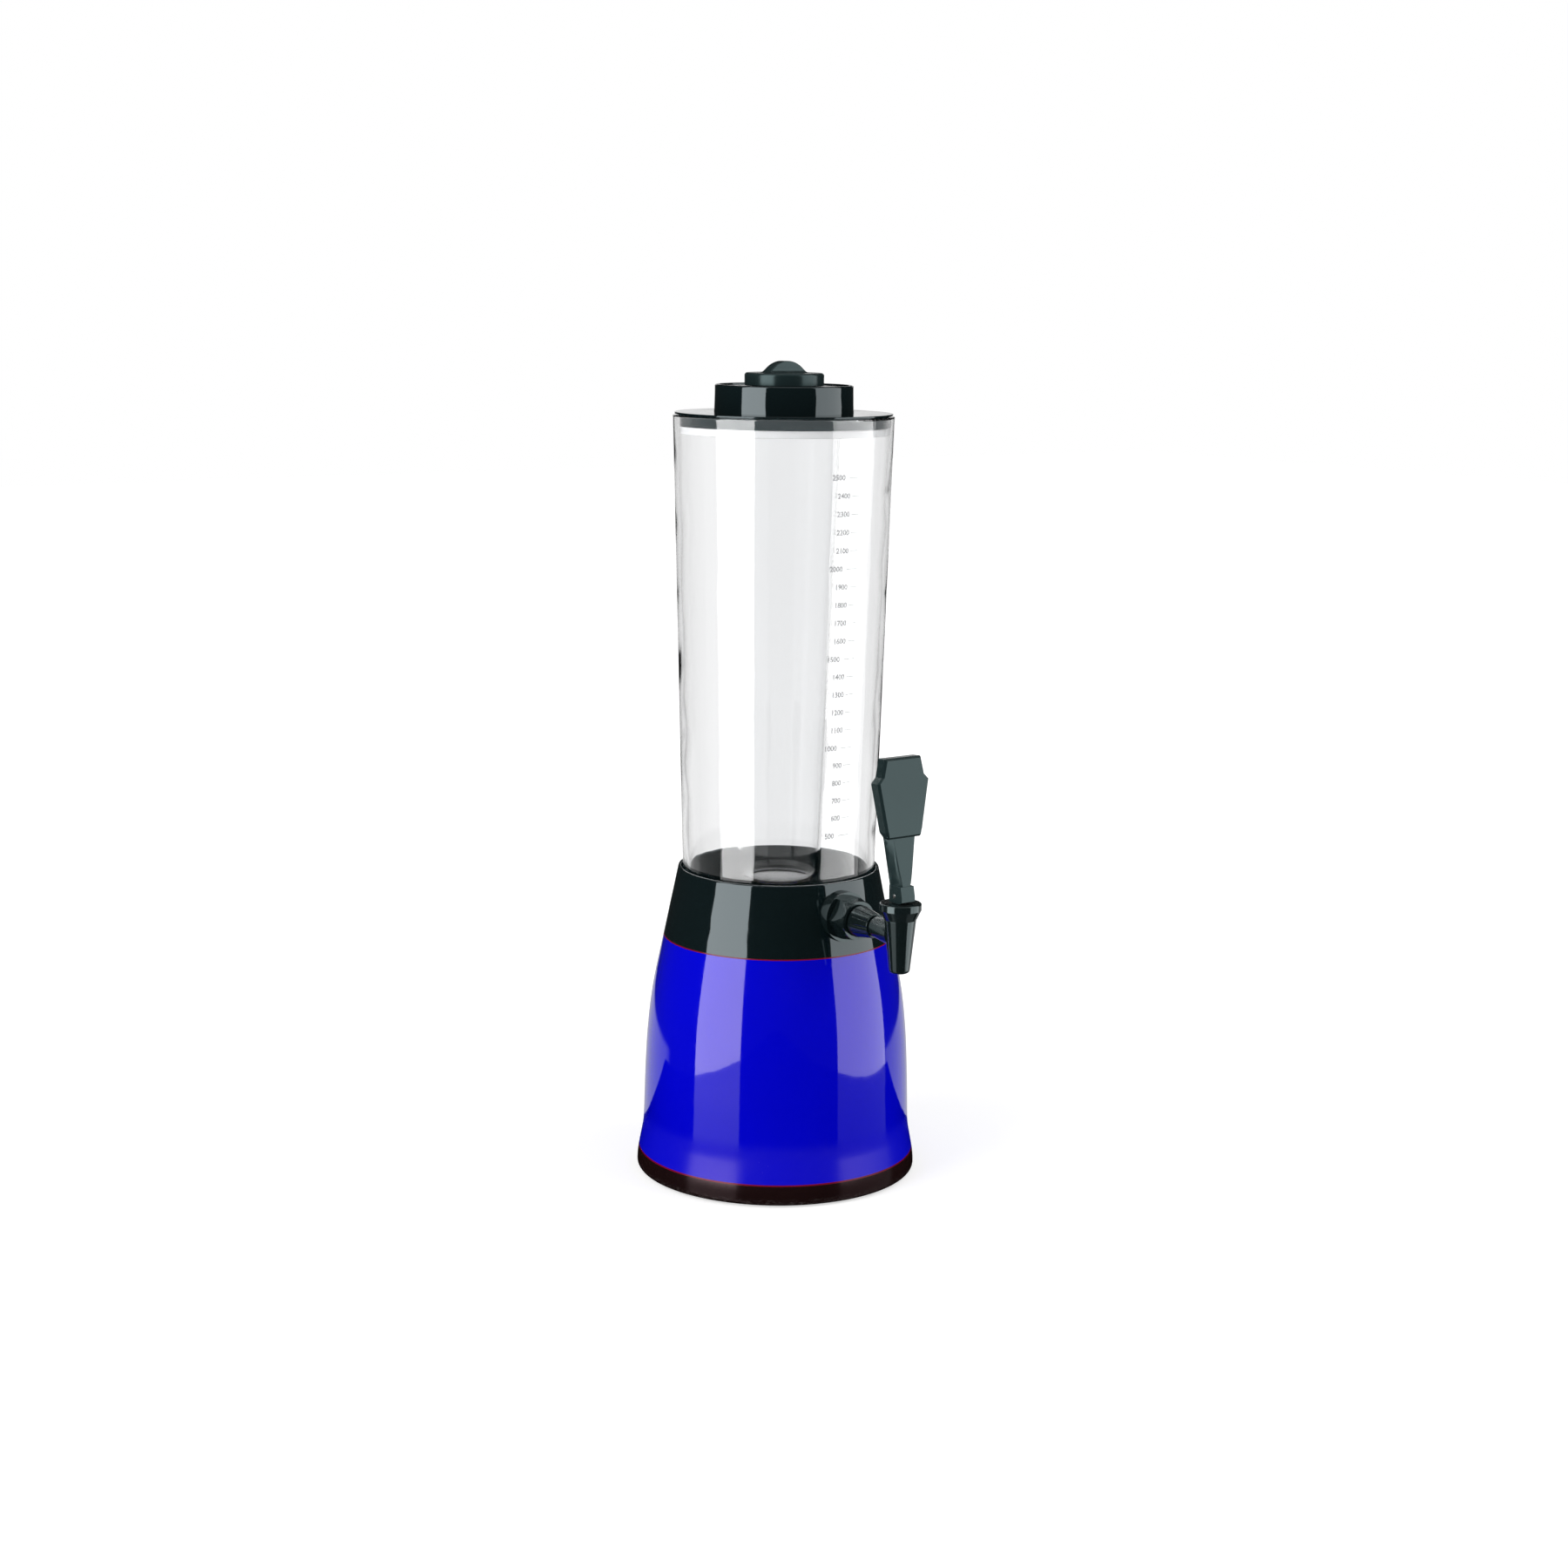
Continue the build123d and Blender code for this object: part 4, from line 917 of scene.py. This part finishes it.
flat_points, print_faces, count = [], [], 0
for mark in range(MARK_COUNT):
    volume = TOP_MARK_ML - mark * MARK_ML
    long_mark = volume % LONG_MARK_ML == 0
    end, begin = (LONG_NUMBER_END, LONG_DASH_START) if long_mark else (NUMBER_END, DASH_START)
    number, dash = number_mesh(str(volume)), dash_mesh(begin, DASH_END)
    for (xy, faces), shift in ((number, end), (dash, 0.0)):
        flat_points.append(xy + (shift, TOP_MARK_HEIGHT - mark * MARK_STEP))
        print_faces += [tuple(index + count for index in face) for face in faces]
        count += len(xy)
flat_points = np.concatenate(flat_points)
print("print has", MARK_COUNT, "marks and", len(print_faces), "faces")

# %% Wrap the print round the tube
INK_LIFT = 2.0e-5
INK_THICK = 4.0e-5


def wrap(flat):
    """Wraps (x, z) round the tube's cone at the tap's side: the radius grows with height by the
    cone's slope, the angle is x over that radius, and the point is radius times (sine, -cosine)."""
    radius = foot_radius + cone_slope * (flat[:, 1] - foot_height) + INK_LIFT
    angle = flat[:, 0] / radius
    return np.stack([radius * np.sin(angle), -radius * np.cos(angle), flat[:, 1]], axis=1)


scale_mesh = bpy.data.meshes.new("scale_print")
scale_mesh.from_pydata(wrap(flat_points).tolist(), [], print_faces)
scale_mesh.materials.append(ink)
scale_print = bpy.data.objects.new("scale_print", scale_mesh)
scene.collection.objects.link(scale_print)
layer = scale_print.modifiers.new("ink layer", "SOLIDIFY")
layer.thickness = INK_THICK
layer.offset = 1.0
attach(scale_print, "base")
print("scale print wrapped round the cone from radius", foot_radius)

# %% [markdown]
# ## The studio
# Glossy plastic is drawn by what it mirrors. Two tall softboxes stand left and right of the
# tower: their reflections are the upright strips on the collar, the lid and the shell, and they
# stop where the shell begins to mirror the table. The room in front stays dark, and a pale
# backdrop behind the tower shows as a soft band along its outline. A direction in the room is
# an angle from the camera's side, positive to the camera's right.

# %% Softboxes
right_hand = Vector((math.cos(CAMERA_AZIMUTH), math.sin(CAMERA_AZIMUTH), 0.0))
BOX_DISTANCE, BOX_LOW, BOX_HIGH = 1.0, -0.4, 1.5
FRONT_WALL_FACES = 2
IN_FRONT_WALL, BEHIND_WALL = 3.0, 0.04


def past_count(tree, count, whole, factor):
    """1 while a whole-numbered count is at most the given one, and the factor above it."""
    return ramp(tree, count, whole + 0.4, whole + 0.6, low_out=1.0, high_out=factor)


def softbox(name, angle, spread, radiance):
    """Upright rectangular lamp that faces the tower; angle and spread are in degrees. A lamp's
    energy is four times its radiance times its area. The clear plastic mirrors it strongly in
    its front wall, whose two faces light crosses, and hardly at all behind it."""
    width = 2.0 * BOX_DISTANCE * math.tan(math.radians(spread / 2))
    height = BOX_HIGH - BOX_LOW
    lamp = bpy.data.lights.new(name, "AREA")
    lamp.shape = "RECTANGLE"
    lamp.size = width
    lamp.size_y = height
    lamp.energy = 4.0 * radiance * width * height
    lamp.use_nodes = True
    tree = lamp.node_tree
    path = put(tree, "ShaderNodeLightPath").outputs
    crossed = math_node(tree, "MULTIPLY", path["Transmission Depth"], path["Glossy Depth"])
    in_wall = past_count(tree, crossed, 0, IN_FRONT_WALL)
    behind_wall = past_count(tree, crossed, FRONT_WALL_FACES, BEHIND_WALL)
    strength = math_node(tree, "MULTIPLY", in_wall, behind_wall)
    plug(tree, tree.nodes["Emission"].inputs["Strength"], strength)
    turn = math.radians(angle)
    outward = math.cos(turn) * toward_camera + math.sin(turn) * right_hand
    body = bpy.data.objects.new(name, lamp)
    scene.collection.objects.link(body)
    body.location = outward * BOX_DISTANCE + Vector((0.0, 0.0, (BOX_LOW + BOX_HIGH) / 2))
    body.rotation_euler = outward.to_track_quat("Z", "Y").to_euler()
    body.visible_camera = False
    return body


left_box = softbox("left_softbox", angle=-51.0, spread=42.0, radiance=2.5)
right_box = softbox("right_softbox", angle=80.0, spread=54.0, radiance=1.4)
print("softboxes at", tuple(left_box.location), tuple(right_box.location))

# %% [markdown]
# The world is white where the camera looks into it, straight or through the clear plastic, and
# a plain grey fill for soft light. Mirrored rays see the room: dark, with some light overhead, a
# pale studio floor far below the table behind the tower, and a narrow white backdrop straight
# behind it. What the clear plastic's own faces mirror is sorted by direction: white behind the
# tower, so the tube's wall stays light, and dim in front, so the dark collar shows through it.
# A place in the room is given by two numbers: how far its direction rises, from -1 straight
# down to 1 straight up, and how far it points straight behind the tower, from -1 to 1. Each
# pair below is where one area fades into the next.

# %% World
def ray_kinds(tree):
    """Masks of 0 or 1 for the ray that arrives: shows the white background, was mirrored, and
    was mirrored after it entered clear plastic. Soft light, after a diffuse bounce, is none."""
    path = put(tree, "ShaderNodeLightPath").outputs
    direct = math_node(tree, "SUBTRACT", 1.0, path["Diffuse Depth"], clamp=True)
    mirrored = math_node(tree, "MULTIPLY", direct, path["Glossy Depth"], clamp=True)
    through = math_node(tree, "MULTIPLY", direct, path["Transmission Depth"], clamp=True)
    straight = math_node(tree, "SUBTRACT", through, mirrored, clamp=True)
    white = math_node(tree, "MAXIMUM", path["Is Camera Ray"], straight)
    return white, mirrored, math_node(tree, "MULTIPLY", mirrored, through)


AMBIENT = 0.42
CLEAR_FRONT, CLEAR_FRONT_BEHIND = 0.60, (0.78, 0.90)
ROOM_DARK, ROOM_TOP, ROOM_FLOOR = 0.015, 0.30, 0.50
TOP_RISE = (0.60, 0.85)
FLOOR_RISE, FLOOR_BEHIND = (-0.20, -0.185), (0.25, 0.40)
TABLE_RISE = (-0.03, -0.01)
WINDOW_FOOT_RISE, WINDOW_TOP_RISE = (0.03, 0.04), (0.12, 0.15)
BACKDROP_BEHIND = (0.955, 0.975)
world = bpy.data.worlds.new("studio")
scene.world = world
world.use_nodes = True
sky = world.node_tree
sky.nodes.clear()
direction = put(sky, "ShaderNodeTexCoord").outputs["Generated"]
rise = put(sky, "ShaderNodeSeparateXYZ", Vector=direction).outputs["Z"]
behind = along(sky, direction, -toward_camera)
overhead = ramp(sky, rise, *TOP_RISE, ROOM_DARK, ROOM_TOP)
pale_floor = ramp(sky, rise, *FLOOR_RISE, ROOM_FLOOR, 0.0)
pale_floor = math_node(sky, "MULTIPLY", pale_floor, ramp(sky, behind, *FLOOR_BEHIND))
window = ramp(sky, rise, *WINDOW_TOP_RISE, 1.0, 0.0)
window = math_node(sky, "MULTIPLY", window, ramp(sky, rise, *WINDOW_FOOT_RISE))
backdrop = math_node(sky, "MAXIMUM", window, ramp(sky, rise, *TABLE_RISE, 1.0, 0.0))
backdrop = math_node(sky, "MULTIPLY", backdrop, ramp(sky, behind, *BACKDROP_BEHIND))
room = math_node(sky, "MAXIMUM", overhead, math_node(sky, "MAXIMUM", pale_floor, backdrop))
white, mirrored, in_clear = ray_kinds(sky)
clear_room = ramp(sky, behind, *CLEAR_FRONT_BEHIND, CLEAR_FRONT, 1.0)

strength = mix_value(sky, mirrored, AMBIENT, mix_value(sky, in_clear, room, clear_room))
strength = math_node(sky, "MAXIMUM", strength, white)
background = put(sky, "ShaderNodeBackground", Color=(1.0, 1.0, 1.0, 1.0), Strength=strength)
output = sky.nodes.new("ShaderNodeOutputWorld")
sky.links.new(background.outputs[0], output.inputs["Surface"])
print("world with", len(sky.nodes), "nodes")

# %% [markdown]
# The floor is pale and plain and keeps the tower's soft shadow. It adds a little light of its
# own for the camera only, so that it runs into the white background. Mirror-like rays see a
# dark polished table top that ends close behind the tower: it carries the softboxes' second,
# dimmer image in the shell's lower half, and past its edge the pale studio floor shows as a
# soft band along the shell's outline. What the clear plastic mirrors passes through the floor.

# %% Floor: mesh and what the camera sees
FLOOR_HALF = 6.0
FLOOR_GREY = (0.62, 0.62, 0.62, 1.0)
WHITE = (1.0, 1.0, 1.0, 1.0)
GLOW_DISTANCE, GLOW_NEAR, GLOW_FAR = (0.12, 0.90), 0.60, 1.0
corners = ((-1, -1), (1, -1), (1, 1), (-1, 1))
floor_corners = [(x * FLOOR_HALF, y * FLOOR_HALF, 0.0) for x, y in corners]
floor_mesh = bpy.data.meshes.new("floor")
floor_mesh.from_pydata(floor_corners, [], [(0, 1, 2, 3)])
floor = bpy.data.objects.new("floor", floor_mesh)
scene.collection.objects.link(floor)
paper = bpy.data.materials.new("pale_floor")
paper.use_nodes = True
tree = paper.node_tree
tree.nodes.clear()
camera_ray = put(tree, "ShaderNodeLightPath").outputs["Is Camera Ray"]
white, mirror_ray, in_clear = ray_kinds(tree)
place = put(tree, "ShaderNodeTexCoord").outputs["Object"]
away = put(tree, "ShaderNodeVectorMath", {"operation": "LENGTH"}, Vector=place).outputs["Value"]
pale = put(tree, "ShaderNodeBsdfDiffuse", Color=FLOOR_GREY).outputs[0]
glow = ramp(tree, away, *GLOW_DISTANCE, GLOW_NEAR, GLOW_FAR)
glow = put(tree, "ShaderNodeEmission", Color=WHITE, Strength=glow).outputs[0]
glowing = put(tree, "ShaderNodeAddShader")
plug(tree, glowing.inputs[0], pale)
plug(tree, glowing.inputs[1], glow)
by_camera = mix_shader(tree, camera_ray, pale, glowing.outputs[0])
backdrop = put(tree, "ShaderNodeEmission", Color=WHITE, Strength=1.0).outputs[0]
through_clear = math_node(tree, "SUBTRACT", white, camera_ray, clamp=True)
seen = mix_shader(tree, through_clear, by_camera, backdrop)
print("floor is", 2 * FLOOR_HALF, "metres wide")

# %% Floor: the table top that glossy pieces mirror
TABLE_HALF_WIDTH, TABLE_BACK, TABLE_ROUGHNESS = 0.40, 0.10, 0.10
POLISH_DISTANCE, POLISH_NEAR, POLISH_FAR = (0.10, 0.40), 0.11, 0.20
POLISH_SIDES, POLISH_LEFT, POLISH_RIGHT = (-0.20, 0.20), 1.0, 0.5
sideways = along(tree, place, right_hand)
behind = along(tree, place, -toward_camera)
on_table = math_node(tree, "LESS_THAN", math_node(tree, "ABSOLUTE", sideways), TABLE_HALF_WIDTH)
in_front = math_node(tree, "LESS_THAN", behind, TABLE_BACK)
on_table = math_node(tree, "MULTIPLY", on_table, in_front)
on_table = math_node(tree, "SUBTRACT", on_table, in_clear, clamp=True)
polish = ramp(tree, away, *POLISH_DISTANCE, POLISH_NEAR, POLISH_FAR)
left_right = ramp(tree, sideways, *POLISH_SIDES, POLISH_LEFT, POLISH_RIGHT)
polish = math_node(tree, "MULTIPLY", polish, left_right)
table = put(tree, "ShaderNodeBsdfAnisotropic", Color=polish, Roughness=TABLE_ROUGHNESS)
past = put(tree, "ShaderNodeBsdfTransparent").outputs[0]
mirrored = mix_shader(tree, on_table, past, table.outputs[0])
output = tree.nodes.new("ShaderNodeOutputMaterial")
plug(tree, output.inputs["Surface"], mix_shader(tree, mirror_ray, seen, mirrored))
floor_mesh.materials.append(paper)
scene.view_settings.view_transform = "Standard"
print("floor's material has", len(tree.nodes), "nodes")
